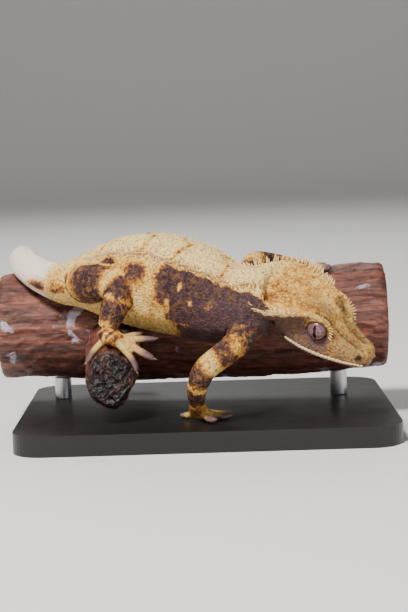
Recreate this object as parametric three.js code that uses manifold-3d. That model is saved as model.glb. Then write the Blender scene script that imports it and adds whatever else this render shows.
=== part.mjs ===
// A crested gecko, life size, climbing down off a short length of driftwood onto a flat display base.
// Its right forefoot stands on the base, its right hind foot grips a branch stub and its left feet hold the log.
// Millimetres, +Z up, nose towards +X, right side towards -Y. The origin is the centre of the base's underside.
import * as THREE from "three";
import { mergeVertices } from "three/addons/utils/BufferGeometryUtils.js";
import Module from "manifold-3d";

const wasm = await Module();
wasm.setup();

// Driving sizes
const GAP = 0.3;
const BASE = { length: 110, width: 88, thickness: 6, corner: 9, centreX: 1, centreY: 31 };
const ROD_RADIUS = 2.6;
const ROD_X = [-44, 42];
const EYE_RADIUS = 3.2;
const EAR_STATION = 9.05;
const DOME_RADIUS = 4.15;
const LID_RADIUS = 3.4;
const LID_OUT = 0.6;
const EYE_CENTRE = { forward: 0.2, out: 5.8, up: 0.5 };
const LOG = { leftX: -62, rightX: 56, leftY: 50, rightY: 40.5, leftZ: 22.2, rightZ: 23.6, radius: 16.3 };
const STUB = { x: -26.4, frontY: -0.5, backY: 38, z: 13.6, halfWidth: 6.9, top: 7.6, bottom: 9.4 };

const V = (x, y, z) => new THREE.Vector3(x, y, z);
const lerp = (a, b, t) => a + (b - a) * t;
const rad = THREE.MathUtils.degToRad;

// The head's own axes: turned towards the viewer, nose down, right side lower
const HEAD_ORIGIN = V(36.2, 0.8, 28.0);
const HEAD_YAW = rad(-31);
const HEAD_PITCH = rad(-27.5);
const HEAD_ROLL = rad(19);
const headForward = V(
  Math.cos(HEAD_PITCH) * Math.cos(HEAD_YAW),
  Math.cos(HEAD_PITCH) * Math.sin(HEAD_YAW),
  Math.sin(HEAD_PITCH),
);
const levelLeft = V(-Math.sin(HEAD_YAW), Math.cos(HEAD_YAW), 0);
const headLeft = levelLeft.clone().applyAxisAngle(headForward, HEAD_ROLL);
const headUp = headForward.clone().cross(headLeft);

// A point given forward, left and up of the middle of the eyes
function headPoint(forward, left, up) {
  return HEAD_ORIGIN.clone()
    .addScaledVector(headForward, forward)
    .addScaledVector(headLeft, left)
    .addScaledVector(headUp, up);
}

// Half a cross-section, from the back's midline to the belly's, as [out, up] pairs:
// top, crest row, flank, upper lip, mouth line, lower lip, jaw, underside
function ellipseSection(halfWidth, top, bottom) {
  const angles = [90, 52, 12, -14, -20, -27, -58, -90];
  return angles.map((a) => {
    const c = Math.cos(rad(a));
    const s = Math.sin(rad(a));
    return [halfWidth * c, (s > 0 ? top : bottom) * s];
  });
}

// Head sections by distance ahead of the eyes, with the roll in degrees that each adds to the head's
const HEAD_SECTIONS = [
  { at: 15.6, roll: 0, half: [[0, -2.6], [1.2, -2.8], [1.8, -3.9], [1.9, -4.8], [1.8, -5], [1.7, -5.3], [1.1, -5.8], [0, -5.9]] },
  { at: 15, roll: 0, half: [[0, -1.6], [2.2, -1.9], [3, -3.6], [3.2, -5], [2.9, -5.3], [2.8, -5.7], [2, -6.4], [0, -6.6]] },
  { at: 13.2, roll: 0, half: [[0, -0.8], [3, -1], [4, -3.2], [4.3, -5.1], [4, -5.4], [3.9, -5.9], [2.9, -6.9], [0, -7.2]] },
  { at: 9.8, roll: 0, half: [[0, -0.6], [3.3, -0.4], [5.1, -2.5], [5.9, -5.4], [5.5, -5.7], [5.4, -6.3], [4.1, -7.3], [0, -7.7]] },
  { at: 6, roll: 0, half: [[0, 0.1], [4.0, 0.8], [6.2, -1.6], [7.2, -5.6], [6.7, -5.95], [6.6, -6.6], [5.3, -7.8], [0, -8.2]] },
  { at: 3, roll: 0, half: [[0, 1.3], [5.4, 2.6], [6.3, -0.9], [8.2, -5.6], [7.6, -6], [7.5, -6.7], [6, -8], [0, -8.5]] },
  { at: 0, roll: 1, half: [[0, 2.8], [7.4, 5.1], [6.6, -0.5], [8.9, -5.5], [8.3, -5.9], [8.2, -6.6], [6.7, -8.2], [0, -8.8]] },
  { at: -3.4, roll: 3, half: [[0, 3.4], [8.2, 4.8], [7.6, -0.5], [9.4, -5.3], [8.8, -5.7], [8.7, -6.4], [7.2, -8.2], [0, -8.9]] },
  { at: -8, roll: 7, half: [[0, 4.1], [10.1, 3.7], [9.4, -0.6], [9.5, -4.8], [9.2, -5.2], [9.2, -6], [7.6, -8.1], [0, -8.8]] },
  { at: -12.5, roll: 10, half: [[0, 4.5], [11.8, 2.7], [9.9, -0.9], [9.2, -3.4], [9, -4.2], [8.8, -5.2], [7.2, -7.9], [0, -8.6]] },
  { at: -16.5, roll: 11, half: [[0, 4.6], [12.3, 2.2], [9.8, -1.2], [9, -3.4], [8.8, -4.2], [8.5, -5.1], [6.7, -7.9], [0, -8.8]] },
  { at: -20, roll: 10, half: [[0, 4.7], [10.4, 3], [9.6, -1.2], [9.2, -3.5], [9, -4.4], [8.6, -5.4], [6.8, -8.6], [0, -9.6]] },
];

// Trunk and tail stations: centre, half width, height above and below it, and roll towards the viewer in degrees
const TRUNK = [
  { at: [17.2, 8.6, 34.0], half: ellipseSection(10.1, 9.6, 10.8), roll: 17 },
  { at: [10.6, 9.6, 33.0], half: ellipseSection(10.9, 10.6, 11.6), roll: 16 },
  { at: [3.4, 12.6, 34.4], half: ellipseSection(12.2, 13.4, 13.2), roll: 15 },
  { at: [-4.1, 16.2, 36.6], half: ellipseSection(12.8, 14.4, 14.0), roll: 14 },
  { at: [-11.7, 19.7, 38.2], half: ellipseSection(12.9, 15.0, 14.4), roll: 13 },
  { at: [-20.7, 23.6, 38.7], half: ellipseSection(12.0, 13.8, 13.0), roll: 11 },
  { at: [-28.6, 27.0, 38.5], half: ellipseSection(9.8, 11.2, 10.4), roll: 9 },
  { at: [-35.2, 29.8, 38.4], half: ellipseSection(7.6, 8.2, 7.8), roll: 7 },
  { at: [-40.6, 32.2, 38.4], half: ellipseSection(6.3, 5.9, 6.9), roll: 5 },
  { at: [-45.6, 35.1, 39.1], half: ellipseSection(5.2, 5.2, 5.6), roll: 4 },
  { at: [-50.2, 38.8, 41.0], half: ellipseSection(5.0, 5.0, 5.0), roll: 2 },
  { at: [-53.8, 44.3, 43.0], half: ellipseSection(4.6, 4.6, 4.6), roll: 0 },
  { at: [-55.0, 51.6, 43.8], half: ellipseSection(4.4, 4.3, 4.4), roll: 0 },
  { at: [-54.2, 59.0, 41.6], half: ellipseSection(4.1, 3.9, 4.0), roll: 0 },
  { at: [-52.2, 65.6, 36.6], half: ellipseSection(3.7, 3.4, 3.5), roll: 0 },
  { at: [-47.0, 69.6, 28.8], half: ellipseSection(3.3, 3.0, 3.0), roll: 0 },
  { at: [-40.4, 70.6, 20.6], half: ellipseSection(2.9, 2.5, 2.5), roll: 0 },
  { at: [-32.6, 69.6, 13.8], half: ellipseSection(2.5, 2.0, 2.0), roll: 0 },
  { at: [-24.2, 67.4, 9.8], half: ellipseSection(2.2, 1.5, 1.5), roll: 0 },
  { at: [-17.2, 65.0, 9.4], half: ellipseSection(2.1, 1.1, 1.1), roll: 0 },
  { at: [-14.4, 64.0, 9.9], half: ellipseSection(1.1, 0.7, 0.7), roll: 0 },
];

// Where the body is parted, in stations counted from the nose
const HEAD_END = HEAD_SECTIONS.length - 1;
const NECK_END = HEAD_END + 2.2;
const TORSO_END = HEAD_END + 7.6;
const TAIL_BASE_END = HEAD_END + 11.5;
const TAIL_MIDDLE_END = HEAD_END + 15.5;
const BODY_END = HEAD_SECTIONS.length + TRUNK.length - 1;

const stations = [
  ...HEAD_SECTIONS.map((s) => ({
    centre: headPoint(s.at, 0, 0),
    forward: headForward,
    up: headUp.clone().applyAxisAngle(headForward, rad(s.roll)),
    half: s.half,
  })),
  ...TRUNK.map((s, i) => {
    const before = i ? V(...TRUNK[i - 1].at) : headPoint(HEAD_SECTIONS[HEAD_END].at, 0, -2);
    const after = V(...TRUNK[Math.min(i + 1, TRUNK.length - 1)].at);
    const forward = before.sub(after).normalize();
    const hangs = i > 12;
    const upright = hangs ? V(-0.5, 0.8, 0.2) : V(0, 0, 1);
    const up = upright.applyAxisAngle(forward, rad(s.roll)).projectOnPlane(forward).normalize();
    return { centre: V(...s.at), forward, up, half: s.half };
  }),
];

function catmull(a, b, c, d, t) {
  const v0 = (c - a) / 2;
  const v1 = (d - b) / 2;
  return (2 * (b - c) + v0 + v1) * t ** 3 + (3 * (c - b) - 2 * v0 - v1) * t ** 2 + v0 * t + b;
}

// The body's frame and half section at station s, a number that may fall between two stations
function bodyAt(s) {
  const i = Math.min(Math.floor(s), stations.length - 2);
  const t = s - i;
  const four = [i - 1, i, i + 1, i + 2].map((k) => stations[THREE.MathUtils.clamp(k, 0, stations.length - 1)]);
  const mix = (read) => catmull(...four.map(read), t);
  const centre = V(mix((q) => q.centre.x), mix((q) => q.centre.y), mix((q) => q.centre.z));
  const forward = four[1].forward.clone().lerp(four[2].forward, t).normalize();
  const up = four[1].up.clone().lerp(four[2].up, t).projectOnPlane(forward).normalize();
  const left = up.clone().cross(forward);
  const half = four[1].half.map((_, k) => [mix((q) => q.half[k][0]), mix((q) => q.half[k][1])]);
  return { centre, forward, up, left, half };
}

// A point on the skin: row counts the half section's points from the back's midline, side is 1 left or -1 right
function skinPoint(s, row, side, lift = 0) {
  const b = bodyAt(s);
  const [out, rise] = halfPoint(b.half, row);
  const normal = b.left.clone().multiplyScalar(out * side).addScaledVector(b.up, rise).normalize();
  return b.centre
    .clone()
    .addScaledVector(b.left, out * side)
    .addScaledVector(b.up, rise)
    .addScaledVector(normal, lift);
}

// A half section read between its points
function halfPoint(half, row) {
  const i = Math.min(Math.floor(row), half.length - 2);
  const t = row - i;
  const pick = (k) => (k < 0 ? [-half[-k][0], half[-k][1]] : k >= half.length ? [-half[half.length - 2][0], half[half.length - 2][1]] : half[k]);
  const four = [pick(i - 1), pick(i), pick(i + 1), pick(i + 2)];
  return [catmull(...four.map((p) => p[0]), t), catmull(...four.map((p) => p[1]), t)];
}

// Ring steps down each side: three to the crest row, four to the lip, and single steps across the mouth
const RING_ROWS = [0, 0.35, 0.7, 1, 1.35, 1.7, 2, 2.5, 3, 4, 5, 5.5, 6, 6.5, 7];

// A closed mesh over rings of equal length, with a flat fan at each end
function closedRings(rings) {
  const n = rings[0].length;
  const middle = (ring) => ring.reduce((sum, p) => sum.add(p), V(0, 0, 0)).divideScalar(n);
  const points = rings.flat();
  const first = points.push(middle(rings[0])) - 1;
  const last = points.push(middle(rings[rings.length - 1])) - 1;
  const index = [];
  for (let r = 0; r + 1 < rings.length; r++)
    for (let k = 0; k < n; k++) {
      const a = r * n + k;
      const b = r * n + ((k + 1) % n);
      index.push(a, b, a + n, b, b + n, a + n);
    }
  const end = (rings.length - 1) * n;
  for (let k = 0; k < n; k++) {
    index.push(first, (k + 1) % n, k);
    index.push(last, end + k, end + ((k + 1) % n));
  }
  const geometry = new THREE.BufferGeometry().setFromPoints(points);
  geometry.setIndex(index);
  return geometry;
}

// A geometry as a manifold-3d solid, turned inside out if its faces point in
function solid(geometry) {
  const bare = geometry.clone();
  bare.deleteAttribute("normal");
  bare.deleteAttribute("uv");
  const merged = mergeVertices(bare, 1e-4);
  const triVerts = new Uint32Array(merged.index.array);
  const made = new wasm.Manifold(
    new wasm.Mesh({ numProp: 3, vertProperties: new Float32Array(merged.attributes.position.array), triVerts }),
  );
  if (made.volume() > 0) return made;
  for (let i = 0; i < triVerts.length; i += 3)
    [triVerts[i + 1], triVerts[i + 2]] = [triVerts[i + 2], triVerts[i + 1]];
  return new wasm.Manifold(
    new wasm.Mesh({ numProp: 3, vertProperties: new Float32Array(merged.attributes.position.array), triVerts }),
  );
}

const joined = (solids) => solids.reduce((a, b) => a.add(b));
const largest = (made) => made.decompose().sort((a, b) => b.volume() - a.volume())[0];

// A length of the body between stations from and to, grown outwards by grow, with perStation rings to a station
function bodyLength(from, to, perStation, grow = 0) {
  const count = Math.max(2, Math.round((to - from) * perStation));
  const rings = [];
  for (let r = 0; r <= count; r++) {
    const b = bodyAt(lerp(from, to, r / count));
    const rightSide = RING_ROWS.map((row) => halfPoint(b.half, row));
    const outline = [
      ...rightSide.map(([out, up]) => [out, up]),
      ...rightSide.slice(1, -1).reverse().map(([out, up]) => [-out, up]),
    ];
    rings.push(
      outline.map(([out, up]) => {
        const size = Math.hypot(out, up + 1e-6);
        const more = 1 + grow / Math.max(size, 1);
        return b.centre.clone().addScaledVector(b.left, out * more).addScaledVector(b.up, up * more);
      }),
    );
  }
  return solid(closedRings(rings));
}

// A solid kept between the body's cross-sections at two stations, half the gap short of each
function between(made, from, to) {
  const start = bodyAt(from);
  const end = bodyAt(to);
  const backwards = start.forward.clone().negate();
  let kept = made;
  if (from > 0) kept = kept.trimByPlane(backwards.toArray(), backwards.dot(start.centre) + GAP / 2);
  if (to < BODY_END) kept = kept.trimByPlane(end.forward.toArray(), end.forward.dot(end.centre) + GAP / 2);
  return kept;
}

// A round limb or toe through path, with a radius pair [across, thick] at each point, and grow added to both
function limb(path, radii, { sides, rings, flat = V(0, 0, 1), grow = 0 }) {
  const curve = new THREE.CatmullRomCurve3(path, false, "centripetal");
  const lengths = path.map((_, i) => i / (path.length - 1));
  const ringPoints = [];
  for (let r = 0; r <= rings; r++) {
    const t = r / rings;
    const i = Math.min(Math.floor(t * (path.length - 1)), path.length - 2);
    const local = (t - lengths[i]) * (path.length - 1);
    const four = [i - 1, i, i + 1, i + 2].map((k) => radii[THREE.MathUtils.clamp(k, 0, radii.length - 1)]);
    const across = Math.max(0.25, catmull(...four.map((q) => q[0]), local)) + grow;
    const thick = Math.max(0.2, catmull(...four.map((q) => q[1]), local)) + grow;
    const tangent = curve.getTangent(t);
    const up = flat.clone().projectOnPlane(tangent).normalize();
    const side = up.clone().cross(tangent);
    const centre = curve.getPoint(t);
    if (r === 0) centre.addScaledVector(tangent, -grow);
    if (r === rings) centre.addScaledVector(tangent, grow);
    const ring = [];
    for (let k = 0; k < sides; k++) {
      const a = (2 * Math.PI * k) / sides;
      ring.push(
        centre.clone().addScaledVector(side, across * Math.cos(a)).addScaledVector(up, thick * Math.sin(a)),
      );
    }
    ringPoints.push(ring);
  }
  return solid(closedRings(ringPoints));
}

// A whole leg: two lengths that meet in a round elbow or knee, at its path's fourth point
const JOINT_AT = 3;
function jointedLimb({ path, radii, flat }, grow = 0) {
  const upper = { sides: 12, rings: 7, flat, grow };
  const lower = { sides: 12, rings: 6, flat, grow };
  const [across, thick] = radii[JOINT_AT];
  return joined([
    limb(path.slice(0, JOINT_AT + 1), radii.slice(0, JOINT_AT + 1), upper),
    limb(path.slice(JOINT_AT), radii.slice(JOINT_AT), lower),
    ball(path[JOINT_AT], (across + thick) / 2 + grow, 12, 6),
  ]);
}

// A small spine: a five-sided cone with its root sunk below the skin
function spine(root, tip, width, sink) {
  const axis = tip.clone().sub(root).normalize();
  const length = tip.distanceTo(root) + sink;
  const cone = new THREE.ConeGeometry(width, length, 5, 1);
  cone.translate(0, length / 2 - sink, 0);
  cone.applyQuaternion(new THREE.Quaternion().setFromUnitVectors(V(0, 1, 0), axis));
  cone.translate(root.x, root.y, root.z);
  return solid(cone);
}

// The log: a slowly bending, slightly fluted round, read by distance along X and angle round it from +Y
function logAxis(x) {
  const t = (x - LOG.leftX) / (LOG.rightX - LOG.leftX);
  return V(x, lerp(LOG.leftY, LOG.rightY, t) + 0.8 * Math.sin(t * 9), lerp(LOG.leftZ, LOG.rightZ, t) + 0.5 * Math.sin(t * 7 + 1));
}
function logRadius(x, angle) {
  const flutes = 0.35 * Math.sin(3 * angle + x * 0.05) + 0.25 * Math.sin(7 * angle - x * 0.03);
  const swells = 0.4 * Math.sin(x * 0.11 + angle);
  return LOG.radius + flutes + swells;
}
function onLog(x, degrees, lift = 0) {
  const a = rad(degrees);
  const r = logRadius(x, a) + lift;
  return logAxis(x).add(V(0, Math.cos(a) * r, Math.sin(a) * r));
}

// The stub: an egg-shaped branch end pointing towards -Y, read by Y and angle from +X
function onStub(y, degrees, lift = 0) {
  const a = rad(degrees);
  const flutes = 0.25 * Math.sin(4 * a + y * 0.2);
  const flare = 1 + 0.012 * Math.max(0, y - 6);
  const tall = Math.sin(a) > 0 ? STUB.top : STUB.bottom;
  return V(
    STUB.x + Math.cos(a) * (STUB.halfWidth * flare + flutes + lift),
    y,
    STUB.z + Math.sin(a) * (tall * flare + flutes + lift) + 0.12 * Math.max(0, y),
  );
}

function surfaceTube(pointAt, stops, sides) {
  const rings = stops.map(({ at, scale = 1, middle }) => {
    const ring = [];
    for (let k = 0; k < sides; k++) {
      const p = pointAt(at, (360 * k) / sides);
      ring.push(scale === 1 ? p : middle.clone().lerp(p, scale));
    }
    return ring;
  });
  return solid(closedRings(rings));
}

function makeLog() {
  const stops = [];
  const count = 15;
  for (let i = 0; i <= count; i++) stops.push({ at: lerp(LOG.leftX, LOG.rightX, i / count) });
  const inset = (x, scale) => ({ at: x, scale, middle: logAxis(x) });
  stops[0] = inset(LOG.leftX, 0.9);
  stops.splice(1, 0, { at: LOG.leftX + 1.6 });
  stops[stops.length - 1] = inset(LOG.rightX, 0.9);
  stops.splice(stops.length - 1, 0, { at: LOG.rightX - 1.6 });
  return surfaceTube(onLog, stops, 22);
}

function makeStub() {
  const front = V(STUB.x, STUB.frontY, STUB.z);
  const stops = [
    { at: STUB.frontY, scale: 0.78, middle: front },
    { at: STUB.frontY + 1.3 },
    { at: 4 },
    { at: 10 },
    { at: 18 },
    { at: 27 },
    { at: STUB.backY },
  ];
  return surfaceTube(onStub, stops, 18);
}

// A foot: a palm and five toes with broad pads and small claws. Each toe is a list of points from palm to tip.
function makeFoot({ palm, palmRadii, toes, flat, grow = 0 }) {
  const pieces = [limb(palm, palmRadii, { sides: 10, rings: 5, flat, grow })];
  for (const toe of toes) {
    const up = toe.flat ?? flat;
    const pad = toe.pad ?? 1.75;
    pieces.push(
      limb(toe.path, [[1.5, 1.2], [1.3, 1.0], [pad, 0.9], [pad * 0.95, 0.75], [0.7, 0.45]], {
        sides: 7,
        rings: 6,
        flat: up,
        grow,
      }),
    );
    if (grow) continue;
    const tip = toe.path[toe.path.length - 1];
    const before = toe.path[toe.path.length - 2];
    const ahead = tip.clone().sub(before).normalize();
    pieces.push(spine(tip, tip.clone().addScaledVector(ahead, 0.9).addScaledVector(up, -0.1), 0.38, 0.7));
  }
  return joined(pieces);
}

// A toe's five points, from where it leaves the palm to its tip, over a surface given by onSurface(u, v, lift)
function toeOn(onSurface, from, to, startLift = 1.4) {
  const lifts = [startLift, 1.0, 0.75, 0.7, 0.65];
  return [0, 0.3, 0.62, 0.86, 1].map((t, i) => onSurface(lerp(from[0], to[0], t), lerp(from[1], to[1], t), lifts[i]));
}

// The left and right limbs, as paths from inside the body to the wrist or ankle
const LIMBS = {
  fore_right: {
    path: [V(15, 8.6, 29), V(12.4, 2.6, 24.6), V(6.8, -2.4, 20.4), V(0.8, -5.4, 16.2), V(-1.6, -3.4, 10.6), V(-1.9, 1.4, 5.2)],
    radii: [[4.6, 4.6], [4.2, 4.0], [3.7, 3.5], [3.4, 3.2], [2.9, 2.8], [2.2, 2.0]],
    flat: V(0, 1, 0.4),
  },
  fore_left: {
    path: [V(14, 11, 33), V(14.8, 18.2, 36.6), V(15.0, 23.0, 40.4), V(16.6, 26.4, 43.4), V(22.4, 30.0, 42.9), V(28.2, 33.4, 41.6)],
    radii: [[4.4, 4.4], [3.9, 3.7], [3.5, 3.3], [3.1, 2.9], [2.6, 2.4], [2.1, 1.8]],
    flat: V(0, 0.2, 1),
  },
  hind_right: {
    path: [V(-36, 29, 38), V(-32.4, 21.6, 38.6), V(-26.4, 14.6, 39.4), V(-23.6, 11.0, 36.8), V(-25.2, 9.2, 31.6), V(-27.2, 8.4, 26.8)],
    radii: [[5.2, 5.2], [5.9, 5.6], [4.9, 4.8], [4.0, 3.9], [3.9, 3.3], [2.6, 2.3]],
    flat: V(0, 1, 0.3),
  },
  hind_left: {
    path: [V(-34, 31, 39.5), V(-30.6, 37.6, 42.6), V(-25.2, 43.0, 44.6), V(-23.4, 46.4, 44.4), V(-26.6, 48.6, 43.4), V(-30.4, 50.4, 42.0)],
    radii: [[6.2, 6.2], [5.4, 5.0], [4.2, 3.8], [3.3, 3.1], [3.1, 2.7], [2.4, 2.0]],
    flat: V(0.2, 0.3, 1),
  },
};

// A toe on the flat base, from the palm to a tip given in plan
function toeOnBase(from, to) {
  const heights = [1.9, 1.5, 1.15, 1.05, 0.95];
  return [0, 0.3, 0.62, 0.86, 1].map((t, i) => V(lerp(from[0], to[0], t), lerp(from[1], to[1], t), heights[i]));
}

const up = V(0, 0, 1);
const outOfLog = (p) => p.clone().sub(logAxis(p.x)).setX(0).normalize();
const outOfStub = (p) => p.clone().sub(V(STUB.x, p.y, STUB.z)).normalize();
const withFlat = (path, outOf) => ({ path, flat: outOf(path[2]) });

const FEET = {
  fore_right: {
    palm: [V(-2.0, 0.6, 6.0), V(-1.6, 2.6, 3.8), V(-0.8, 4.2, 2.2), V(0.4, 5.4, 1.7)],
    palmRadii: [[2.1, 2.0], [2.8, 2.1], [3.5, 1.8], [2.7, 1.4]],
    flat: V(0.2, 0.5, 1),
    toes: [
      { path: toeOnBase([-2.2, 4.6], [-6.4, 8.4]), flat: up },
      { path: toeOnBase([-0.4, 6.2], [0.8, 13.0]), flat: up },
      { path: toeOnBase([1.0, 5.8], [7.6, 9.6]), flat: up },
      { path: toeOnBase([1.2, 4.6], [7.6, 3.4]), flat: up },
      { path: toeOnBase([0.0, 3.2], [3.0, -2.6]), flat: up },
    ],
  },
  fore_left: {
    palm: [V(27.6, 33.0, 41.9), onLog(30.0, 112, 2.2), onLog(32.0, 110, 1.7), onLog(33.6, 108, 1.3)],
    palmRadii: [[2.0, 1.9], [2.7, 1.8], [3.2, 1.5], [2.4, 1.2]],
    flat: up,
    toes: [
      withFlat(toeOn(onLog, [31.0, 114], [29.0, 137]), outOfLog),
      withFlat(toeOn(onLog, [33.0, 112], [37.4, 127]), outOfLog),
      withFlat(toeOn(onLog, [33.8, 109], [40.4, 109]), outOfLog),
      withFlat(toeOn(onLog, [33.4, 106], [38.6, 91]), outOfLog),
      withFlat(toeOn(onLog, [31.6, 104], [31.6, 81]), outOfLog),
    ],
  },
  hind_right: {
    palm: [V(-27.2, 8.2, 26.2), onStub(7.4, 92, 2.6), onStub(6.2, 80, 2.2), onStub(5.4, 70, 1.5)],
    palmRadii: [[2.5, 2.3], [3.4, 2.2], [4.1, 1.9], [3.0, 1.5]],
    flat: up,
    toes: [
      withFlat(toeOn(onStub, [6.6, 98], [2.6, 152], 1.6), outOfStub),
      withFlat(toeOn(onStub, [4.8, 72], [1.0, 8], 1.6), outOfStub),
      { path: [V(-21.4, 5.4, 23.0), V(-19.4, 5.0, 21.6), V(-16.8, 4.6, 20.0), V(-14.8, 4.3, 18.8), V(-13.6, 4.1, 18.0)], flat: V(0.5, -0.3, 0.8) },
      { path: [V(-21.8, 6.6, 23.6), V(-19.8, 6.8, 23.7), V(-16.6, 7.1, 23.7), V(-14.2, 7.3, 23.6), V(-12.9, 7.4, 23.4)], flat: up },
      { path: [V(-22.6, 8.0, 23.9), V(-21.2, 9.6, 24.1), V(-19.6, 11.6, 24.3), V(-18.4, 13.2, 24.3), V(-17.6, 14.2, 24.2)], flat: up },
    ],
  },
  hind_left: {
    palm: [V(-30.0, 50.2, 42.2), onLog(-31.6, 66, 1.9), onLog(-33.0, 60, 1.6), onLog(-34.0, 55, 1.2)],
    palmRadii: [[2.2, 2.0], [3.0, 1.8], [3.6, 1.5], [2.6, 1.2]],
    flat: V(0, 0.4, 1),
    toes: [
      withFlat(toeOn(onLog, [-32.0, 66], [-29.4, 88]), outOfLog),
      withFlat(toeOn(onLog, [-33.8, 62], [-39.4, 66]), outOfLog),
      withFlat(toeOn(onLog, [-34.2, 57], [-39.6, 42]), outOfLog),
      withFlat(toeOn(onLog, [-33.2, 54], [-34.6, 28]), outOfLog),
      withFlat(toeOn(onLog, [-31.6, 55], [-27.2, 34]), outOfLog),
    ],
  },
};

// Finishes, as seen in the photo
const finish = (color, roughness, metalness = 0) => new THREE.MeshStandardMaterial({ color, roughness, metalness });
const skin = finish(0xd8b98a, 0.65);
const flankSkin = finish(0x6d5560, 0.65);
const tailSkin = finish(0xe8dccb, 0.6);
const toeSkin = finish(0xb59a86, 0.7);
const eyeball = finish(0x6b4c55, 0.08);
const driftwood = finish(0x5a2a1e, 0.8);
const baseBoard = finish(0x17181a, 0.25);
const steel = finish(0x9a9ca0, 0.3, 1);

const gecko = new THREE.Group();
gecko.position.set(-BASE.centreX, -BASE.centreY, BASE.thickness);

function addNode(name, made, material) {
  const kept = largest(made).getMesh();
  const geometry = new THREE.BufferGeometry();
  const count = kept.vertProperties.length / kept.numProp;
  const position = new Float32Array(count * 3);
  for (let i = 0; i < count; i++)
    position.set(kept.vertProperties.subarray(i * kept.numProp, i * kept.numProp + 3), i * 3);
  geometry.setAttribute("position", new THREE.BufferAttribute(position, 3));
  geometry.setIndex(new THREE.BufferAttribute(new Uint32Array(kept.triVerts), 1));
  geometry.computeVertexNormals();
  const mesh = new THREE.Mesh(geometry, material);
  mesh.name = name;
  gecko.add(mesh);
}

// Crest rows: spines along both edges of the head and on down the back, larger on the head
function crestSpines(from, to, step, height, row = 1) {
  const spines = [];
  for (const side of [-1, 1])
    for (let s = from, n = 0; s < to; s += step / bodyAt(s).centre.distanceTo(bodyAt(s + 1).centre), n++) {
      const root = skinPoint(s, row, side, -0.15);
      const b = bodyAt(s);
      const lean = b.left.clone().multiplyScalar(side * 0.75).addScaledVector(b.up, 0.62).addScaledVector(b.forward, -0.25);
      const tall = height * (0.85 + 0.3 * ((n * 7) % 5) / 5);
      spines.push(spine(root, root.clone().addScaledVector(lean.normalize(), tall), 0.45, 0.8));
    }
  return spines;
}

function eyeAt(side) {
  return headPoint(EYE_CENTRE.forward, EYE_CENTRE.out * side, EYE_CENTRE.up);
}
function ball(centre, radius, across, down) {
  const sphere = new THREE.SphereGeometry(radius, across, down);
  sphere.translate(centre.x, centre.y, centre.z);
  return solid(sphere);
}

// The lids round an eye: a dome of skin open on its outer side, a thick rim, and lashes along the rim's upper edge
function eyeRim(side) {
  const look = headLeft.clone().multiplyScalar(side).addScaledVector(headForward, 0.18).addScaledVector(headUp, 0.06).normalize();
  const turn = new THREE.Quaternion().setFromUnitVectors(V(0, 0, 1), look);
  const middle = eyeAt(side).addScaledVector(look, LID_OUT);
  const rim = new THREE.TorusGeometry(LID_RADIUS, 0.58, 6, 18);
  rim.applyQuaternion(turn);
  rim.translate(middle.x, middle.y, middle.z);
  const inwards = look.clone().negate();
  const dome = ball(eyeAt(side), DOME_RADIUS, 20, 12).trimByPlane(inwards.toArray(), inwards.dot(middle));
  const pieces = [dome, solid(rim)];
  const ahead = headForward.clone().projectOnPlane(look).normalize();
  const above = headUp.clone().projectOnPlane(look).normalize();
  const lashes = 13;
  for (let i = 0; i < lashes; i++) {
    const a = rad(lerp(-8, 172, i / (lashes - 1)));
    const out = ahead.clone().multiplyScalar(Math.cos(a)).addScaledVector(above, Math.sin(a));
    const root = middle.clone().addScaledVector(out, LID_RADIUS + 0.35);
    const tip = root.clone().addScaledVector(out, 1.15).addScaledVector(look, 0.75);
    pieces.push(spine(root, tip, 0.36, 0.5));
  }
  return pieces;
}

// Head: the skull, crests, eye rims, nostrils and ear openings, with sockets for the eyes
function makeHead() {
  const skull = bodyLength(0, HEAD_END + 0.4, 2);
  let head = joined([skull, ...crestSpines(7.6, HEAD_END - 0.2, 1.45, 1.35), ...eyeRim(-1), ...eyeRim(1)]);
  for (const side of [-1, 1]) {
    head = head.subtract(ball(eyeAt(side), EYE_RADIUS + GAP, 20, 12));
    head = head.subtract(ball(headPoint(13.7, 3.9 * side, -3.1), 0.8, 8, 6));
    const ear = ball(V(0, 0, 0), 1, 8, 6)
      .scale([1.3, 0.9, 0.7])
      .rotate([0, 0, (HEAD_YAW * 180) / Math.PI])
      .translate(skinPoint(EAR_STATION, 2.25, side).toArray());
    head = head.subtract(ear);
  }
  return between(head, 0, HEAD_END);
}

addNode("head", makeHead(), skin);
addNode("eye_right", ball(eyeAt(-1), EYE_RADIUS, 18, 12), eyeball);
addNode("eye_left", ball(eyeAt(1), EYE_RADIUS, 18, 12), eyeball);

const neck = joined([
  bodyLength(HEAD_END - 0.4, NECK_END + 0.3, 3),
  ...crestSpines(HEAD_END + 0.2, NECK_END - 0.1, 1.6, 1.15),
]);
addNode("neck", between(neck, HEAD_END, NECK_END), skin);
const torso = joined([
  bodyLength(NECK_END - 0.3, TORSO_END + 0.3, 2.6),
  ...crestSpines(NECK_END + 0.15, TORSO_END - 0.8, 1.9, 0.85),
]);
addNode("torso", between(torso, NECK_END, TORSO_END), flankSkin);
const tailLength = (from, to) => between(bodyLength(from - 0.4, Math.min(to + 0.4, BODY_END), 1.6), from, to);
addNode("tail_base", tailLength(TORSO_END, TAIL_BASE_END), tailSkin);
addNode("tail_middle", tailLength(TAIL_BASE_END, TAIL_MIDDLE_END), tailSkin);
addNode("tail_tip", tailLength(TAIL_MIDDLE_END, BODY_END), tailSkin);

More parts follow.
